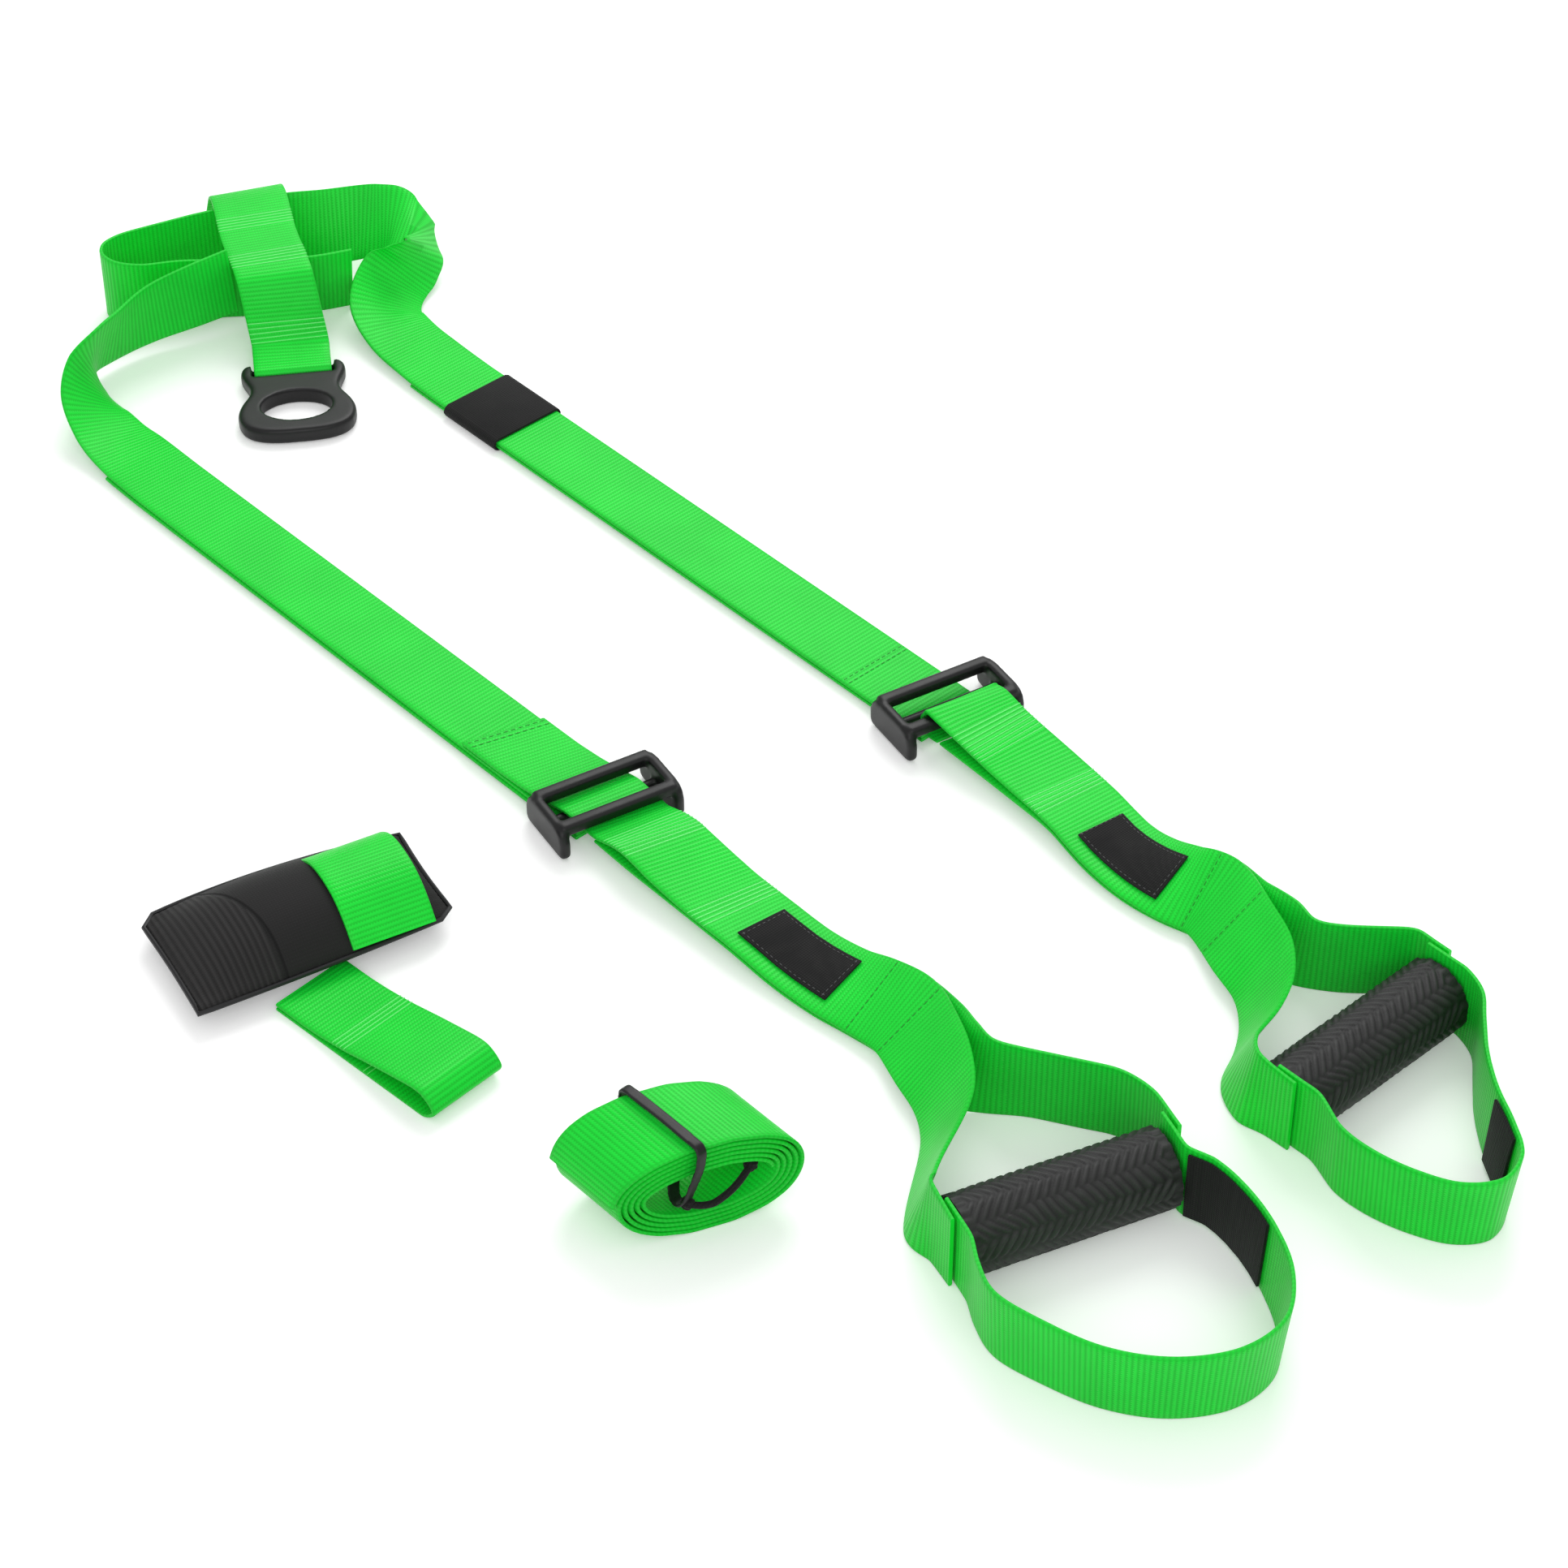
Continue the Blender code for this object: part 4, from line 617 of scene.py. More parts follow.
@dataclass
class Ribbon:
    """The run of one strap: its two selvedges and its face's direction at each cross line."""

    left: np.ndarray
    right: np.ndarray
    normal: np.ndarray
    thickness: float
    corner_cut: float = 3.0 * MM
    least_step: float = 0.012 * MM

    @classmethod
    def of_node(cls, name: str) -> "Ribbon":
        """Reads the run of a strap from its CAD solid.

        Args:
            name: The CAD node's name.

        Returns:
            The strap's run, cross line by cross line.
        """
        shape = solid(name)
        layer = cls._end_of(shape)
        seen = set(layer)
        rows = [[vert.co.copy() for vert in layer]]
        while True:
            fresh = {edge.other_vert(vert) for vert in layer for edge in vert.link_edges} - seen
            if len(fresh) != 4:
                break
            layer = cls._match(layer, sorted(fresh, key=lambda vert: vert.index))
            seen |= fresh
            rows.append([vert.co.copy() for vert in layer])
        shape.free()
        table = np.array(rows)
        up = table[:, 0] - table[:, 1] + table[:, 3] - table[:, 2]
        depth = float(np.linalg.norm(up, axis=1).mean() / 2)
        up /= np.linalg.norm(up, axis=1)[:, None]
        left, right = (table[:, 0] + table[:, 1]) / 2, (table[:, 2] + table[:, 3]) / 2
        return cls(left, right, up, depth)

    @staticmethod
    def _end_of(shape: Mesh) -> list[Vert]:
        """Finds the four corners of one end, which are its solid's only sharp ones.

        Args:
            shape: The strap's closed mesh.

        Returns:
            Left upper, left lower, right lower and right upper corner.
        """
        sharp = set()
        for vert in shape.verts:
            loops = (loop for face in vert.link_faces for loop in face.loops if loop.vert == vert)
            if 2 * math.pi - sum(loop.calc_angle() for loop in loops) > CORNER:
                sharp.add(vert)
        best = None
        for edge in shape.edges:
            faces = edge.link_faces
            corners = {vert for face in faces for vert in face.verts}
            flat = edge.calc_face_angle(0) < FLAT
            if flat and corners <= sharp and len(corners) == 4:
                area = sum(face.calc_area() for face in faces)
                if best is None or area < best[0]:
                    best = (area, sorted(corners, key=lambda vert: vert.index))
        first, *others = best[1]
        others.sort(key=lambda vert: (vert.co - first.co).length)
        return [first, others[0], others[2], others[1]]

    @staticmethod
    def _match(layer: list[Vert], fresh: list[Vert]) -> list[Vert]:
        """Orders the next cross line's corners as the last one's.

        Args:
            layer: The corners of the last cross line.
            fresh: The corners of the next, in any order.

        Returns:
            The next corners, in the order of the last.
        """
        return list(min(
            permutations(fresh),
            key=lambda row: sum((a.co - b.co).length for a, b in zip(layer, row)),
        ))

    def joined(self, other: "Ribbon") -> "Ribbon":
        """Carries on into a run whose end lies beside one of this run's ends.

        Args:
            other: The run that follows.

        Returns:
            Both as one run, from this run's far end to the other's.
        """
        gap = np.linalg.norm
        ends = other.middle()[[0, -1]]
        first = min(
            (self, self.turned()), key=lambda run: min(gap(run.middle()[-1] - end) for end in ends)
        )
        second = min(
            (other, other.turned()), key=lambda run: gap(run.middle()[0] - first.middle()[-1])
        )
        left, right = second.left, second.right
        crossed = gap(left[0] - first.right[-1]) + gap(right[0] - first.left[-1])
        straight = gap(left[0] - first.left[-1]) + gap(right[0] - first.right[-1])
        if crossed < straight:
            left, right = right, left
        sign = 1 if first.normal[-1] @ second.normal[0] > 0 else -1
        skip = 1 if min(crossed, straight) < 2 * self.corner_cut else 0
        return Ribbon(
            np.r_[first.left, left[skip:]], np.r_[first.right, right[skip:]],
            np.r_[first.normal, sign * second.normal[skip:]], self.thickness,
        )

    def turned(self) -> "Ribbon":
        """The same run from its other end."""
        return Ribbon(self.left[::-1], self.right[::-1], self.normal[::-1], self.thickness)

    def middle(self) -> np.ndarray:
        """The middle of each cross line."""
        return (self.left + self.right) / 2

    def fine(self) -> "Ribbon":
        """Rounds the turns between the cross lines.

        Returns:
            The same run with more cross lines.
        """
        parts = [self.left, self.right, self.normal]
        middle = self.middle()
        steps = np.maximum(np.linalg.norm(np.diff(middle, axis=0), axis=1), 1e-9)
        rows = [[part[0]] for part in parts]
        for i in range(1, len(middle) - 1):
            start = min(0.5, self.corner_cut / steps[i - 1])
            end = min(0.5, self.corner_cut / steps[i])
            for share in (0, 0.5, 1):
                for row, part in zip(rows, parts):
                    a = part[i] + (part[i - 1] - part[i]) * start
                    b = part[i] + (part[i + 1] - part[i]) * end
                    one = a + (part[i] - a) * share
                    two = part[i] + (b - part[i]) * share
                    row.append(one + (two - one) * share)
        for row, part in zip(rows, parts):
            row.append(part[-1])
        left, right, normal = (np.array(row) for row in rows)
        steps = np.linalg.norm(np.diff((left + right) / 2, axis=0), axis=1)
        keep = np.r_[True, steps > self.least_step]
        keep[-1] = True
        normal = normal[keep] / np.linalg.norm(normal[keep], axis=1)[:, None]
        return Ribbon(left[keep], right[keep], normal, self.thickness)

    def lengths(self) -> np.ndarray:
        """Length along the middle of the strap up to each cross line."""
        return np.r_[0, np.cumsum(np.linalg.norm(np.diff(self.middle(), axis=0), axis=1))]

    def near(self, x: float, y: float) -> float:
        """Finds the length at which the strap passes a spot of the plan.

        Args:
            x: The spot's X in metres.
            y: The spot's Y in metres.

        Returns:
            The length along the strap.
        """
        lengths = self.lengths()
        wanted = np.linspace(0, lengths[-1], LOOKUPS)
        middle = self.middle()
        xs, ys = (np.interp(wanted, lengths, middle[:, i]) for i in (0, 1))
        return float(wanted[np.argmin((xs - x) ** 2 + (ys - y) ** 2)])

    def spot(self, length: float, across: float, facing: Vector) -> tuple[Vector, Vector, Vector]:
        """Finds a point of the strap's face.

        Args:
            length: The length along the strap.
            across: From -1 at the left selvedge to 1 at the right one.
            facing: The rough direction that the wanted face looks in.

        Returns:
            The point, the direction across the strap and the face's outward direction.
        """
        lengths = self.lengths()
        left, right, outward = (
            Vector([float(np.interp(length, lengths, part[:, i])) for i in range(3)])
            for part in (self.left, self.right, self.normal)
        )
        outward.normalize()
        if outward.dot(facing) < 0:
            outward.negate()
        middle = left.lerp(right, (across + 1) / 2)
        return middle + outward * self.thickness / 2, (right - left).normalized(), outward


@dataclass(frozen=True)
class Seam:
    """Rows of stitches across a strap near a spot of the plan."""

    strap: str
    x: float
    y: float
    rows: int = 1
    row_pitch: float = 3.2 * MM
    stitch_length: float = 2.5 * MM
    half_count: int = 5  # stitches on either side of the middle one
    half_width: float = 5.7  # of the strap, in stitches
    end_margin: float = 1.5 * MM

    @classmethod
    def bar_tack(cls, strap: str, x: float, y: float, rows: int) -> "Seam":
        """A dense block of long stitches that carries load."""
        return cls(strap, x, y, rows, row_pitch=2.4 * MM, stitch_length=4.9 * MM)


@dataclass(frozen=True)
class Border:
    """The stitches that hold a patch down, close to its four edges."""

    patch: str
    strap: str
    size: tuple[float, float] = (45.6 * MM, 20.8 * MM)  # along and across the strap
    pitch: float = 2.6 * MM
    stitch_length: float = 1.7 * MM
    thread_radius: float = 0.2 * MM
    search: float = 5.0 * MM  # how far above the strap the patch's face is looked for

    def spots(self) -> list[tuple[float, float, bool]]:
        """Places the stitches.

        Returns:
            For each stitch, its place along and across, and whether it lies along the strap.
        """
        long_half, short_half = (size / 2 for size in self.size)
        made = []
        for half, other, lengthwise in (
            (long_half, short_half, True), (short_half, long_half, False)
        ):
            count = int(2 * half / self.pitch)
            for i in range(count + 1):
                place = -half + 2 * half * i / count
                for edge in (other, -other):
                    made.append((place, edge, True) if lengthwise else (edge, place, False))
        return made


@dataclass
class Workshop:
    """The finishes and the helpers that every sub-assembly shares."""

    materials: dict[str, bpy.types.Material] = field(default_factory=dict)
    ribbons: dict[str, Ribbon] = field(default_factory=dict)
    sharp_angle: float = math.radians(40)
    flat_angle: float = math.radians(0.5)
    bevel_angle: float = math.radians(35)
    bevel_segments: int = 2
    bevel_profile: float = 0.6
    fillet_steps: int = 7
    thread_radius: float = 0.24 * MM
    thread_sides: int = 6

    def stock(self) -> None:
        """Makes every finish once."""
        finishes = {
            "webbing": WovenPolyester("polyester_webbing_woven", "#12E63A", 0.4),
            "nylon": MouldedNylon("nylon_moulded_satin", "#0E0E0F", 0.4),
            "cloth": WovenNylon("nylon_cloth_plain_weave", "#0B0B0C", 0.85),
            "quilted": QuiltedNylon("nylon_cloth_quilted", "#090909", 0.8),
            "foam": ClosedCellFoam("rubber_foam_pressed_weave", "#0D0D0D", 0.6),
            "tube": ExtrudedTube("polypropylene_tube_extruded", "#2A2A2C", 0.4),
            # The green thread is darker than the webbing: its rows stand partly for stitches and
            # partly for painted shade in the creases where the straps fold.
            "thread": SewingThread("polyester_thread_green_and_crease_shade", "#0C8F1C", 0.5),
            "pale_thread": SewingThread("polyester_thread_pale_green", "#74F782", 0.35),
            "dark_thread": SewingThread("polyester_thread_grey", "#4A4A4C", 0.5),
            "paper": StudioPaper("paper_floor_seamless", "#FFFFFF", 0.95),
        }
        for key, finish in finishes.items():
            self.materials[key] = finish.build()

    def add(
        self, name: str, shape: Mesh, finish: str, slot: Slot, body: str, *nodes: str
    ) -> bpy.types.Object:
        """Turns a mesh into a finished piece of the object.

        Args:
            name: The piece's name.
            shape: Its mesh, which is used up.
            finish: Which of the shared materials it gets.
            slot: The record's finish it stands for; not used.
            body: The CAD body that it moves with.
            nodes: The CAD nodes that it stands for.

        Returns:
            The new object.
        """
        mesh = bpy.data.meshes.new(name)
        shape.to_mesh(mesh)
        shape.free()
        mesh.shade_smooth()
        mesh.set_sharp_from_angle(angle=self.sharp_angle)
        piece = bpy.data.objects.new(name, mesh)
        bpy.context.scene.collection.objects.link(piece)
        mesh.materials.append(self.materials[finish])
        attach(piece, body)
        if nodes:
            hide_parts(*nodes)
        LOG.info("%s: %d faces, rides on %s", name, len(mesh.polygons), body)
        return piece

    def ribbon(self, node: str) -> Ribbon:
        """Reads the fine run of a strap, once.

        Args:
            node: The strap's CAD node.

        Returns:
            Its run.
        """
        if node not in self.ribbons:
            self.ribbons[node] = Ribbon.of_node(node).fine()
        return self.ribbons[node]

    def strap(self, body: str, *nodes: str) -> bpy.types.Object:
        """Weaves a strap along its run, with rounded selvedges.

        Args:
            body: The CAD body that it moves with.
            nodes: The strap's CAD nodes, in order along it.

        Returns:
            The strap's piece.
        """
        run = Ribbon.of_node(nodes[0])
        for node in nodes[1:]:
            run = run.joined(Ribbon.of_node(node))
        run = run.fine()
        shape = bmesh.new()
        half_width = float(np.linalg.norm(run.right - run.left, axis=1).mean()) / 2
        half_depth = run.thickness / 2
        rings = []
        spots = {}
        for left, right, normal, length in zip(run.left, run.right, run.normal, run.lengths()):
            rings.append([])
            for across, rise in SECTION:
                place = left + (right - left) * (across + 1) / 2 + normal * rise * half_depth
                vert = shape.verts.new(place)
                rings[-1].append(vert)
                spots[vert] = (length, across * half_width)
        skin(shape, rings)
        paint(shape, spots)
        layer = shape.loops.layers.uv["run"]
        shape.faces.ensure_lookup_table()
        for face in shape.faces[-2:]:  # the two ends, which show the weave's middle
            for loop in face.loops:
                loop[layer].uv = (loop[layer].uv.x, 0)
        bmesh.ops.recalc_face_normals(shape, faces=shape.faces)
        return self.add(nodes[0] + "_woven", shape, "webbing", Slot.WEBBING, body, *nodes)

    def cloth(self, node: str, body: str, name: str, edge: float) -> bpy.types.Object:
        """Makes a cloth piece in the form of a CAD solid, with softened edges.

        Args:
            node: The CAD node.
            body: The CAD body that it moves with.
            name: The piece's name.
            edge: How far its edges are rounded, in metres.

        Returns:
            The piece.
        """
        shape = solid(node)
        bmesh.ops.dissolve_limit(
            shape, angle_limit=self.flat_angle, verts=shape.verts, edges=shape.edges
        )
        bmesh.ops.bevel(
            shape, geom=[rim for rim in shape.edges if rim.calc_face_angle(0) > self.bevel_angle],
            offset=edge, offset_type="OFFSET", segments=self.bevel_segments,
            profile=self.bevel_profile, affect="EDGES", clamp_overlap=True,
        )
        return self.add(name, shape, "cloth", Slot.FABRIC, body, node)

    def moulding(
        self, node: str, body: str, name: str, grid: float = 0.75 * MM
    ) -> bpy.types.Object:
        """Makes a moulded piece from a CAD solid, with a fillet wherever two walls meet.

        Args:
            node: The CAD node.
            body: The CAD body that it moves with.
            name: The piece's name.
            grid: The size of the grid it is rebuilt on, in metres.

        Returns:
            The piece.
        """
        piece = self.add(name, solid(node), "nylon", Slot.NYLON, body, node)
        rebuilt = piece.modifiers.new("rebuilt", "REMESH")
        rebuilt.mode = "VOXEL"
        rebuilt.voxel_size = grid
        rebuilt.use_smooth_shade = True
        fillet = piece.modifiers.new("filleted", "SMOOTH")
        fillet.factor = 0.5
        fillet.iterations = self.fillet_steps
        return piece

    def stitch(
        self, name: str, body: str, seams: tuple[Seam, ...], finish: str = "thread"
    ) -> bpy.types.Object:
        """Sews rows of thread across straps.

        Args:
            name: The piece's name.
            body: The CAD body that the straps move with.
            seams: The rows.
            finish: The thread's finish.

        Returns:
            The stitches as one piece.
        """
        shape = bmesh.new()
        for seam in seams:
            ribbon = self.ribbon(seam.strap)
            start = ribbon.near(seam.x, seam.y)
            end = ribbon.lengths()[-1] - seam.end_margin
            for row in range(seam.rows):
                length = start + (row - (seam.rows - 1) / 2) * seam.row_pitch
                length = min(max(length, seam.end_margin), end)
                for i in range(-seam.half_count, seam.half_count + 1):
                    place, across, outward = ribbon.spot(length, i / seam.half_width, UP)
                    self.thread(shape, place, across, outward, seam.stitch_length)
        return self.add(name, shape, finish, Slot.WEBBING, body)

    def border(self, name: str, body: str, border: Border) -> bpy.types.Object:
        """Sews a patch down close to its four edges.

        Args:
            name: The piece's name.
            body: The CAD body that the patch moves with.
            border: The patch, the strap under it and the stitches' sizes.

        Returns:
            The stitches as one piece.
        """
        low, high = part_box(border.patch)
        ribbon = self.ribbon(border.strap)
        centre = ribbon.near((low.x + high.x) / 2, (low.y + high.y) / 2)
        patch = frame["nodes"][border.patch].data
        tree = BVHTree.FromPolygons(
            [vert.co for vert in patch.vertices], [face.vertices for face in patch.polygons]
        )
        half_width = float(np.linalg.norm(ribbon.right[0] - ribbon.left[0])) / 2
        shape = bmesh.new()
        for along, aside, lengthwise in border.spots():
            place, across, outward = ribbon.spot(centre + along, aside / half_width, UP)
            hit = tree.ray_cast(place + outward * border.search, -outward)[0]
            if hit is None:
                continue
            way = across.cross(outward) if lengthwise else across
            self.thread(shape, hit, way, outward, border.stitch_length, border.thread_radius)
        return self.add(name, shape, "dark_thread", Slot.FABRIC, body)

    def thread(
        self, shape: Mesh, place: Vector, along: Vector, outward: Vector, length: float,
        radius: float | None = None,
    ) -> None:
        """Adds one stitch, half sunk in the cloth.

        Args:
            shape: The mesh that gets it.
            place: Its middle, on the cloth.
            along: Its direction.
            outward: The direction out of the cloth.
            length: Its length in metres.
            radius: Its radius in metres, else the usual one.
        """
        radius = radius or self.thread_radius
        side = outward.cross(along).normalized()
        rings = []
        for share, size in STITCH:
            sink = radius * share * share / 2
            middle = place + along * share * length / 2 - outward * sink
            rings.append(ring(shape, middle, side, outward, radius * size, self.thread_sides))
        skin(shape, rings)


@dataclass
class Legs:
    """The two long legs, the gathered bunch at their top, its anchor strap and ring."""

    workshop: Workshop
    sleeve_edge: float = 0.6 * MM
    # These rows take the darker green thread, which also stands for painted crease shade.
    seams: tuple[Seam, ...] = (Seam("right_leg_strap", 0.1487, -0.030, rows=2),)
    bars: tuple[Seam, ...] = (
        Seam.bar_tack("anchor_strap", 0.133, 0.400, 5),
        Seam.bar_tack("anchor_strap", 0.116, 0.372, 5),
        Seam.bar_tack("anchor_strap", 0.103, 0.346, 5),
    )

    def build(self) -> None:
        """Makes the straps, the ring, the sleeve and the seams."""
        self.workshop.strap("straps", "bunch_front_loop", "bunch_back_wall", "right_leg_strap")
        for strap in ("left_leg_strap", "left_leg_return", "right_leg_return", "anchor_strap"):
            self.workshop.strap("straps", strap)
        self.workshop.moulding("anchor_ring", "ring", "anchor_ring_moulding")
        self.workshop.cloth("keeper_sleeve", "keeper", "keeper_sleeve_cloth", self.sleeve_edge)
        self.workshop.stitch("leg_stitching", "straps", self.seams)
        self.workshop.stitch("anchor_bar_tacks", "straps", self.bars, "pale_thread")


@dataclass
class Grip:
    """One foam grip with a herringbone pressed into it, on its tube."""

    workshop: Workshop
    side: Side
    radius: float = 17.0 * MM
    bore_gap: float = 0.3 * MM
    end_round: float = 2.8 * MM
    points_around: int = 120
    points_along: int = 150
    strand_pitch: float = 4.2 * MM
    strand_slant: float = 0.8
    strand_depth: float = 0.75 * MM
    column_width: float = 8.9 * MM
    groove_slope: float = 6.0
    groove_floor: float = 0.3
    plateau: float = 1.5
    wander: float = 0.35
    column_share: float = 0.4  # of the wander that shifts a column sideways
    wander_scale: tuple[float, float] = (70.0, 1.3)  # per metre along, and per radius round it
    wear: tuple[float, float] = (0.8, 0.35)
    wear_scale: float = 3.1

    def build(self) -> None:
        """Makes the foam with its pressed herringbone, and dresses the tube in it."""
        node = self.side.node
        joint = next(item for item in frame["joints"] if item["name"] == node("grip_spin"))
        axis = Vector(joint["axis"]).normalized()
        low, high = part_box(node("grip_foam"))
        tube_low, tube_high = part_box(node("grip_tube"))
        bore = (tube_high.z - tube_low.z) / 2 + self.bore_gap
        reach = (high.x - low.x - 2 * self.radius * abs(axis.y)) / abs(axis.x)
        side = axis.cross(UP).normalized()
        up = side.cross(axis)
        middle = Vector(((low.x + high.x) / 2, (low.y + high.y) / 2, joint["pos_m"][2]))
        shape = bmesh.new()
        rings = []
        spots = {}
        for along, radius, pressed in self.profile(reach, bore):
            rings.append([])
            for i in range(self.points_around):
                angle = 2 * math.pi * i / self.points_around
                relief = self.relief(along, angle) if pressed else 0
                size = radius - self.strand_depth * (1 - relief) * pressed
                spoke = side * math.cos(angle) + up * math.sin(angle)
                vert = shape.verts.new(middle + axis * along + spoke * size)
                rings[-1].append(vert)
                # The map's Y carries the relief, on whose tops the foam's finish paints a
                # highlight.
                spots[vert] = (0, relief)
        skin(shape, rings, closed=True)
        paint(shape, spots)
        bmesh.ops.recalc_face_normals(shape, faces=shape.faces)
        foam = self.workshop.add(
            node("grip_foam_pressed"), shape, "foam", Slot.FOAM, node("grip"), node("grip_foam")
        )
        tube = frame["nodes"][node("grip_tube")]
        tube.data.materials.clear()
        tube.data.materials.append(self.workshop.materials["tube"])

    def profile(self, reach: float, bore: float) -> list[tuple[float, float, float]]:
        """The foam's outline from end to end and back through its bore.

        Args:
            reach: The foam's length.
            bore: Its bore's radius.

        Returns:
            Length along the axis, radius, and how far the weave is pressed in, from 0 to 1.
        """
        half = reach / 2
        start = half - self.end_round
        rows = []
        for share in (0, 0.35, 0.7, 1):
            turn = math.sin(share * math.pi / 2)
            drop = self.end_round * (1 - turn)
            rows.append((-half + drop, self.radius - drop, share))
        ends = rows[:]
        for i in range(1, self.points_along):
            rows.append((-start + 2 * start * i / self.points_along, self.radius, 1))
        rows += [(-along, radius, pressed) for along, radius, pressed in reversed(ends)]
        return [*rows, (half, bore, 0), (-half, bore, 0)]

    def relief(self, along: float, angle: float) -> float:
        """The pressed herringbone's height on the foam.

        Args:
            along: Length along the axis.
            angle: Angle round the axis.

        Returns:
            Height from 0 in the grooves to 1 on the strands.
        """
        by_length, by_turn = self.wander_scale
        spot = Vector((along * by_length, math.cos(angle) * by_turn, math.sin(angle) * by_turn))
        drift = noise.noise(spot) * self.wander
        column = angle * self.radius / self.column_width + drift * self.column_share
        place = column - math.floor(column)
        lean = self.column_width * self.strand_slant * (1 if math.floor(column) % 2 else -1)
        strand = (along + lean * place) / self.strand_pitch + drift
        height = 0.5 + 0.5 * math.cos(2 * math.pi * strand)
        groove = min(1, min(place, 1 - place) * self.groove_slope)
        wear_and_highlight = self.wear[0] + self.wear[1] * noise.noise(spot * self.wear_scale)
        top = min(1, height * self.plateau * wear_and_highlight)
        return top * (self.groove_floor + (1 - self.groove_floor) * groove)


@dataclass
class Handle:
    """One handle: adjuster, both plies, label, foot loop, and the grip on its core."""

    workshop: Workshop
    side: Side
    seams: tuple[tuple[float, float, int], ...]
    bars: tuple[tuple[float, float, int], ...]
    patch_edge: float = 0.25 * MM

    def build(self) -> None:
        """Makes the whole handle."""
        node = self.side.node
        body, ply, label = node("handle"), node("handle_strap_upper"), node("label_patch")
        for part in ("handle_strap_upper", "handle_strap_lower", "foot_loop", "grip_core"):
            self.workshop.strap(body, node(part))
        self.workshop.moulding(node("buckle"), body, node("adjuster_moulding"))
        self.workshop.cloth(label, body, node("label_cloth"), self.patch_edge)
        self.workshop.cloth(node("loop_pad"), body, node("loop_pad_cloth"), self.patch_edge)
        seams = tuple(Seam(ply, *seam) for seam in self.seams)
        # The seams take the darker green thread, which also stands for painted crease shade.
        self.workshop.stitch(node("handle_stitching"), body, seams)
        bars = tuple(Seam.bar_tack(ply, *bar) for bar in self.bars)
        self.workshop.stitch(node("handle_bar_tacks"), body, bars, "pale_thread")
        self.workshop.border(node("label_border"), body, Border(label, ply))
        Grip(self.workshop, self.side).build()


@dataclass
class DoorAnchor:
    """The padded door anchor: cushion, band over it and loop below it."""

    workshop: Workshop
    heading: float = math.radians(-13.6)
    length: float = 118.0 * MM
    depth: float = 60.0 * MM
    far_bulge: float = 7.0 * MM
    near_bulge: float = 2.5 * MM
    end_fill: float = 2.5 * MM
    swell: float = 0.4
    seam_height: float = 10.0 * MM
    seam_reach: float = 0.05 * MM
    piping_radius: float = 1.1 * MM
    piping_sides: int = 8
    bars: tuple[Seam, ...] = (
        Seam.bar_tack("door_anchor_tail", -0.1615, -0.058, 4),
        Seam.bar_tack("door_anchor_tail", -0.1615, -0.074, 2),
    )

    def build(self) -> None:
        """Makes the cushion, the band and the tail."""
        self.build_cushion()
        self.workshop.strap("door_anchor", "door_anchor_band")
        self.workshop.strap("door_anchor", "door_anchor_tail")
        self.workshop.stitch("door_anchor_bar_tacks", "door_anchor", self.bars, "pale_thread")

    def build_cushion(self) -> None:
        """Makes the cushion's cloth and the binding round its rim."""
        low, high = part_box("door_anchor_pad")
        centre = (low + high) / 2
        shape = solid("door_anchor_pad")
        rim = [
            self.filled(vert.co, centre) for vert in shape.verts
            if abs(vert.co.z - self.seam_height) < self.seam_reach
        ]
        rim.sort(key=lambda place: math.atan2(place[2] * 2, place[1]))
        bmesh.ops.subdivide_edges(
            shape, edges=shape.edges, cuts=1, use_grid_fill=True, smooth=self.swell
        )
        spots = {}
        for vert in shape.verts:
            vert.co, u, v = self.filled(vert.co, centre)
            spots[vert] = (u, v)
        paint(shape, spots)
        cushion = self.workshop.add(
            "door_cushion_cloth", shape, "quilted", Slot.FABRIC, "door_anchor", "door_anchor_pad"
        )
        smooth = cushion.modifiers.new("softened", "SUBSURF")
        smooth.levels = smooth.render_levels = 1
        line = [place for place, _, _ in rim]
        binding = hose(line, self.piping_radius, self.piping_sides, closed=True)
        self.workshop.add("door_cushion_binding", binding, "nylon", Slot.FABRIC, "door_anchor")

    def filled(self, place: Vector, centre: Vector) -> tuple[Vector, float, float]:
        """Fills the cushion out: its long sides stand out and its ends run straight.

        Args:
            place: A point of the CAD cushion.
            centre: The middle of the cushion.

        Returns:
            The point moved, and how far it lies along and across the cushion.
        """
        along = Vector((math.cos(self.heading), math.sin(self.heading), 0))
        aside = UP.cross(along)
        u, v = (place - centre).dot(along), (place - centre).dot(aside)
        end, side = 2 * u / self.length, 2 * v / self.depth
        bulge = self.far_bulge if v > 0 else self.near_bulge
        u += self.end_fill * end ** 3 * max(0, 1 - side * side)
        v += bulge * side * max(0, 1 - end * end)
        moved = centre + along * u + aside * v
        moved.z = place.z
        return moved, u, v


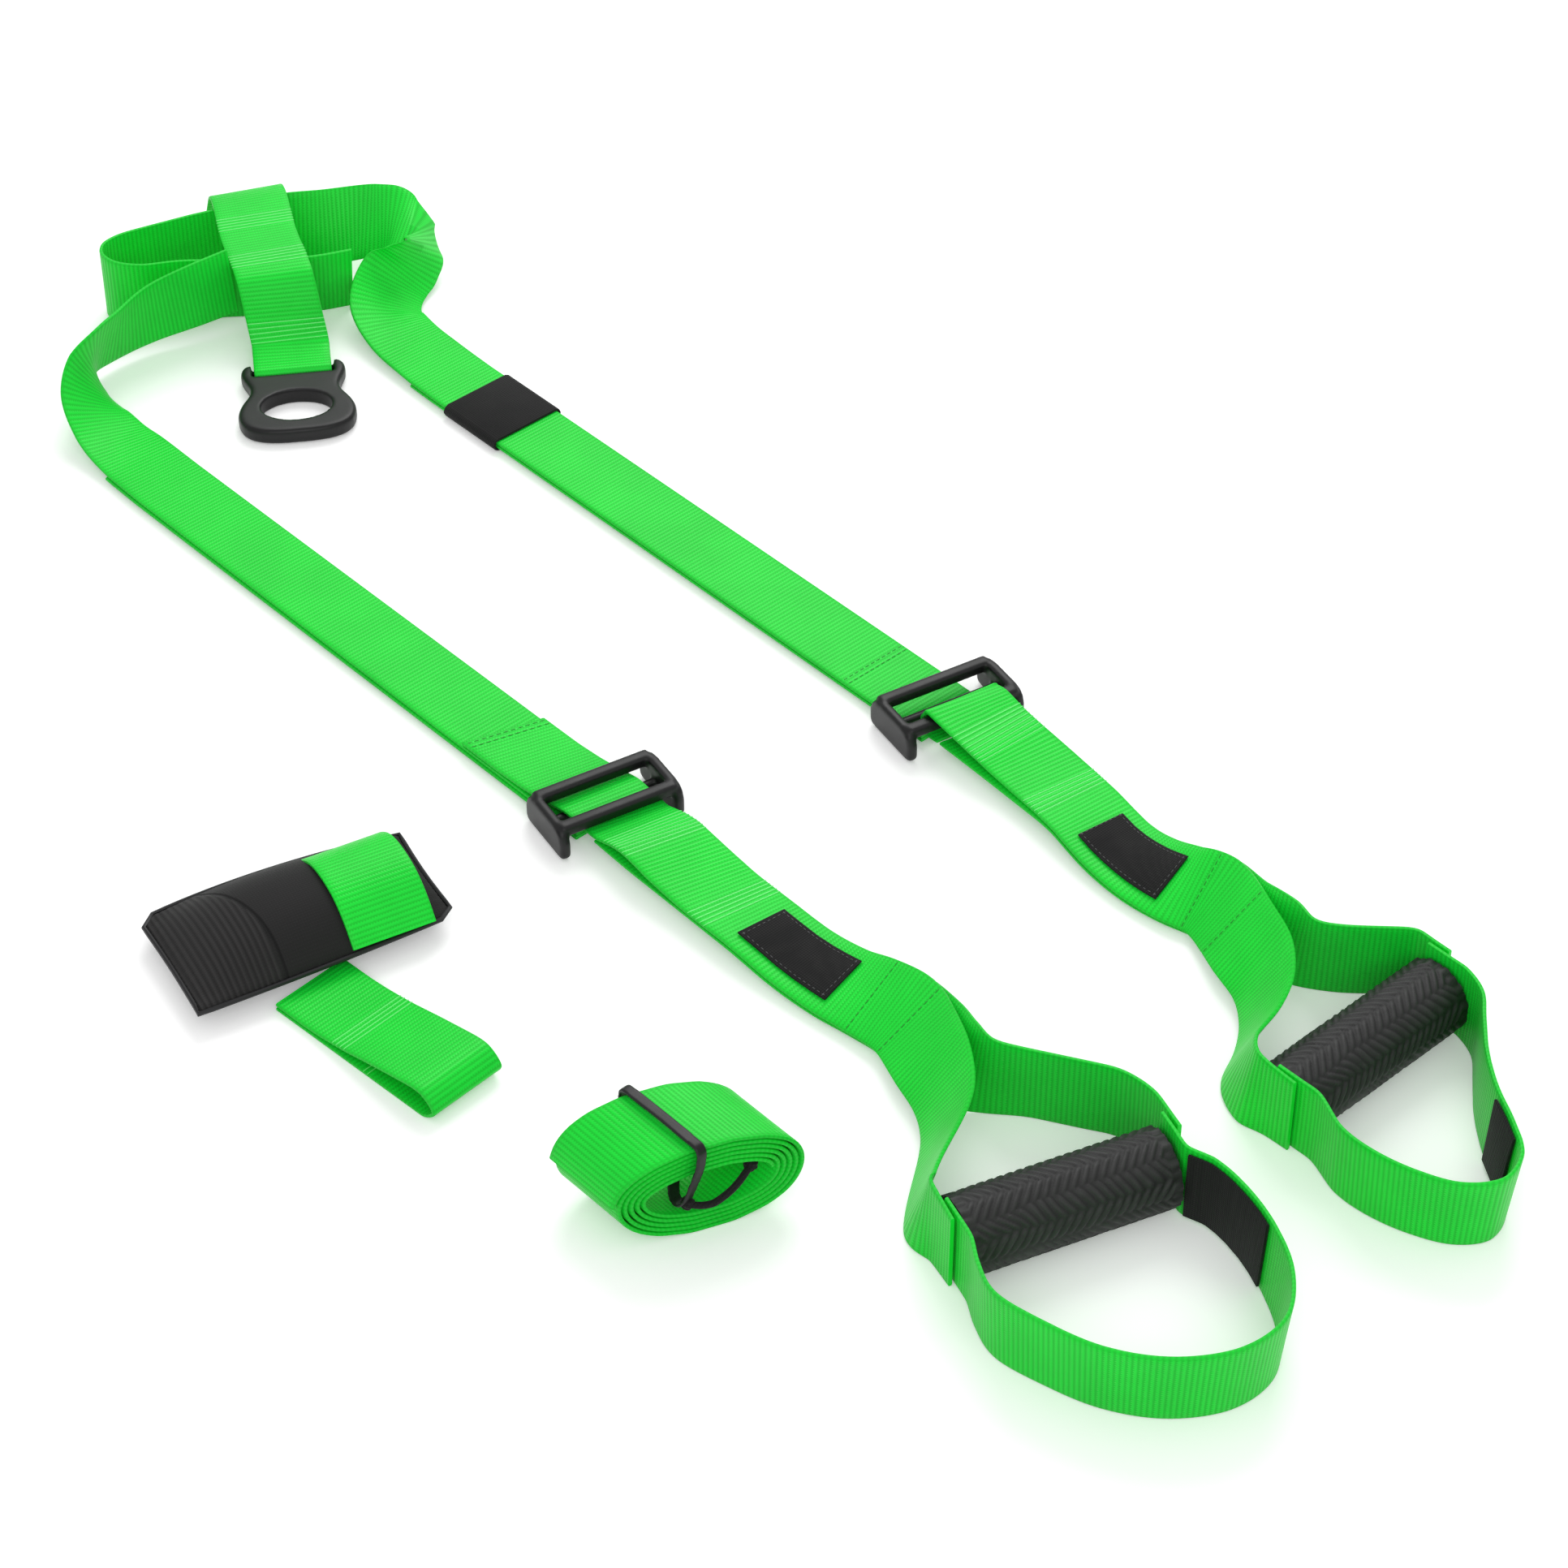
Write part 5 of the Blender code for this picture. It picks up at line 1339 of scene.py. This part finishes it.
@dataclass
class ExtensionRoll:
    """The spare strap, wound up and held by its tie."""

    workshop: Workshop
    tie_grid: float = 0.6 * MM
    cord_path: tuple[tuple[float, float, float], ...] = (
        (-0.1430, -0.2290, 0.0212), (-0.1400, -0.2335, 0.0200), (-0.1345, -0.2365, 0.0192),
        (-0.1290, -0.2375, 0.0202), (-0.1235, -0.2380, 0.0224), (-0.1180, -0.2375, 0.0250),
        (-0.1135, -0.2360, 0.0262),
    )
    cord_radius: float = 1.5 * MM
    cord_steps: int = 5
    cord_sides: int = 12
    knot_radius: float = 2.8 * MM
    knot_lobes: int = 3
    knot_lobe_depth: float = 0.1
    knot_twist: float = 3.0  # radians from its middle to its pole

    def build(self) -> None:
        """Makes the wound strap, the tie and the tie's knotted cord end."""
        self.workshop.strap("extension_roll", "extension_strap")
        self.workshop.moulding("roll_tie", "extension_roll", "roll_tie_moulding", self.tie_grid)
        self.build_cord()

    def build_cord(self) -> None:
        """Lays the tie's loose cord in the roll's hollow, with a knot at each end of it."""
        route = self.route()
        shape = hose(route, self.cord_radius, self.cord_sides)
        cord = self.workshop.add("roll_tie_cord", shape, "cloth", Slot.FABRIC, "extension_roll")
        knots = [
            self.knot("roll_tie_knot_near", route[2]), self.knot("roll_tie_knot_far", route[-1])
        ]
        length = sum((b - a).length for a, b in zip(route, route[1:]))
        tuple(route[0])

    def route(self) -> list[Vector]:
        """Rounds the cord's path into one smooth curve.

        Returns:
            The points that the cord follows, from the tie to its free end.
        """
        points = [Vector(place) for place in self.cord_path]
        points = [2 * points[0] - points[1], *points, 2 * points[-1] - points[-2]]
        route = []
        for a, b, c, d in zip(points, points[1:], points[2:], points[3:]):
            square, cube = 2 * a - 5 * b + 4 * c - d, 3 * b - a - 3 * c + d
            for i in range(self.cord_steps):
                t = i / self.cord_steps
                route.append(b + ((c - a) * t + square * t ** 2 + cube * t ** 3) / 2)
        return [*route, points[-2]]

    def knot(self, name: str, place: Vector) -> bpy.types.Object:
        """Ties one knot, whose turns show as twisted lobes.

        Args:
            name: The piece's name.
            place: The knot's middle.

        Returns:
            The knot's piece.
        """
        shape = bmesh.new()
        bmesh.ops.create_uvsphere(shape, u_segments=20, v_segments=14, radius=self.knot_radius)
        for vert in shape.verts:
            turn = math.atan2(vert.co.y, vert.co.x) + self.knot_twist * vert.co.z / self.knot_radius
            vert.co *= 1 + self.knot_lobe_depth * math.cos(self.knot_lobes * turn)
        bmesh.ops.translate(shape, vec=place, verts=shape.verts)
        return self.workshop.add(name, shape, "cloth", Slot.FABRIC, "extension_roll")


@dataclass(frozen=True)
class Lamp:
    """One round soft lamp."""

    name: str
    place: tuple[float, float, float]
    size: float
    power: float


@dataclass
class Studio:
    """Floor, lamps and the camera that stands where the photographer's stood."""

    workshop: Workshop
    target: tuple[float, float, float] = (0.0675, -0.0576, 0.0)
    azimuth: float = math.radians(-42.5)
    elevation: float = math.radians(41.3)
    distance: float = 1.85
    lens: float = 96.9
    sensor: float = 36.0
    floor_size: float = 14.0
    floor_drop: float = 0.05 * MM
    sky: float = 0.68
    lamps: tuple[Lamp, ...] = (
        Lamp("key_lamp", (1.6, 1.3, 2.2), 1.8, 34.0),
        Lamp("fill_lamp", (-1.4, -1.9, 2.0), 2.2, 18.0),
    )

    def build(self) -> None:
        """Sets up the floor, the light and the camera."""
        self.build_floor()
        for lamp in self.lamps:
            self.build_lamp(lamp)
        self.build_sky()
        self.build_camera()

    def put(self, name: str, data: bpy.types.ID, place: Vector) -> bpy.types.Object:
        """Puts a new object into the scene.

        Args:
            name: Its name.
            data: Its mesh, light or camera.
            place: Where it stands.

        Returns:
            The object.
        """
        made = bpy.data.objects.new(name, data)
        made.location = place
        bpy.context.scene.collection.objects.link(made)
        return made

    def aim(self, item: bpy.types.Object) -> None:
        """Turns a lamp or camera towards the object."""
        way = Vector(self.target) - item.location
        item.rotation_euler = way.to_track_quat("-Z", "Y").to_euler()

    def build_floor(self) -> None:
        """Lays the paper just under the object."""
        shape = bmesh.new()
        bmesh.ops.create_grid(shape, x_segments=4, y_segments=4, size=self.floor_size / 2)
        mesh = bpy.data.meshes.new("studio_floor")
        shape.to_mesh(mesh)
        shape.free()
        mesh.materials.append(self.workshop.materials["paper"])
        self.put("studio_floor", mesh, -UP * self.floor_drop)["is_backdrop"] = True

    def build_lamp(self, lamp: Lamp) -> None:
        """Hangs one lamp: the key is behind to the right, the fill in front.

        Args:
            lamp: Its place, size and power.
        """
        data = bpy.data.lights.new(lamp.name, "AREA")
        data.shape = "DISK"
        data.size = lamp.size
        data.energy = lamp.power
        self.aim(self.put(lamp.name, data, Vector(lamp.place)))

    def build_sky(self) -> None:
        """Makes a sky that the camera sees white and that lights the object a little less."""
        world = bpy.data.worlds.new("studio_sky")
        bpy.context.scene.world = world
        world.use_nodes = True
        graph = Graph(world.node_tree)
        seen = add_node(graph.tree, "LightPath").outputs["Is Camera Ray"]
        sky = graph.tree.nodes["Background"].inputs
        graph.tree.links.new(graph.spread(seen, 0.0, 1.0, self.sky, 1.0), sky["Strength"])
        sky["Color"].default_value = linear("#FFFFFF")

    def build_camera(self) -> None:
        """Stands the camera at the photograph's angle."""
        data = bpy.data.cameras.new("photo_camera")
        data.lens = self.lens
        data.sensor_width = self.sensor
        data.clip_end = 60.0
        flat = math.cos(self.elevation)
        back = Vector((
            math.sin(self.azimuth) * flat, -math.cos(self.azimuth) * flat, math.sin(self.elevation)
        ))
        camera = self.put("photo_camera", data, Vector(self.target) + back * self.distance)
        self.aim(camera)
        bpy.context.scene.camera = camera
        bpy.context.scene.view_settings.view_transform = "Standard"


def main() -> None:
    """Builds every sub-assembly in order and logs each piece."""
    logging.basicConfig(level=logging.INFO, format="%(name)s %(message)s")
    workshop = Workshop()
    workshop.stock()
    Studio(workshop).build()
    Legs(workshop).build()
    Handle(
        workshop, Side.LEFT,
        seams=((-0.0053, 0.043, 2), (-0.0053, -0.190, 1), (0.000, -0.216, 1)),
        bars=((-0.0055, -0.056, 8), (-0.0055, -0.108, 5)),
    ).build()
    Handle(
        workshop, Side.RIGHT,
        seams=((0.1437, -0.239, 1), (0.1437, -0.270, 1)),
        bars=((0.1487, -0.109, 8), (0.1450, -0.152, 5)),
    ).build()
    DoorAnchor(workshop).build()
    ExtensionRoll(workshop).build()
    boxes = [[list(corner) for corner in box] for box in (CAD_BOX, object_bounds())]
    LOG.info("boxes: %s", boxes)


if __name__ == "__main__":
    main()
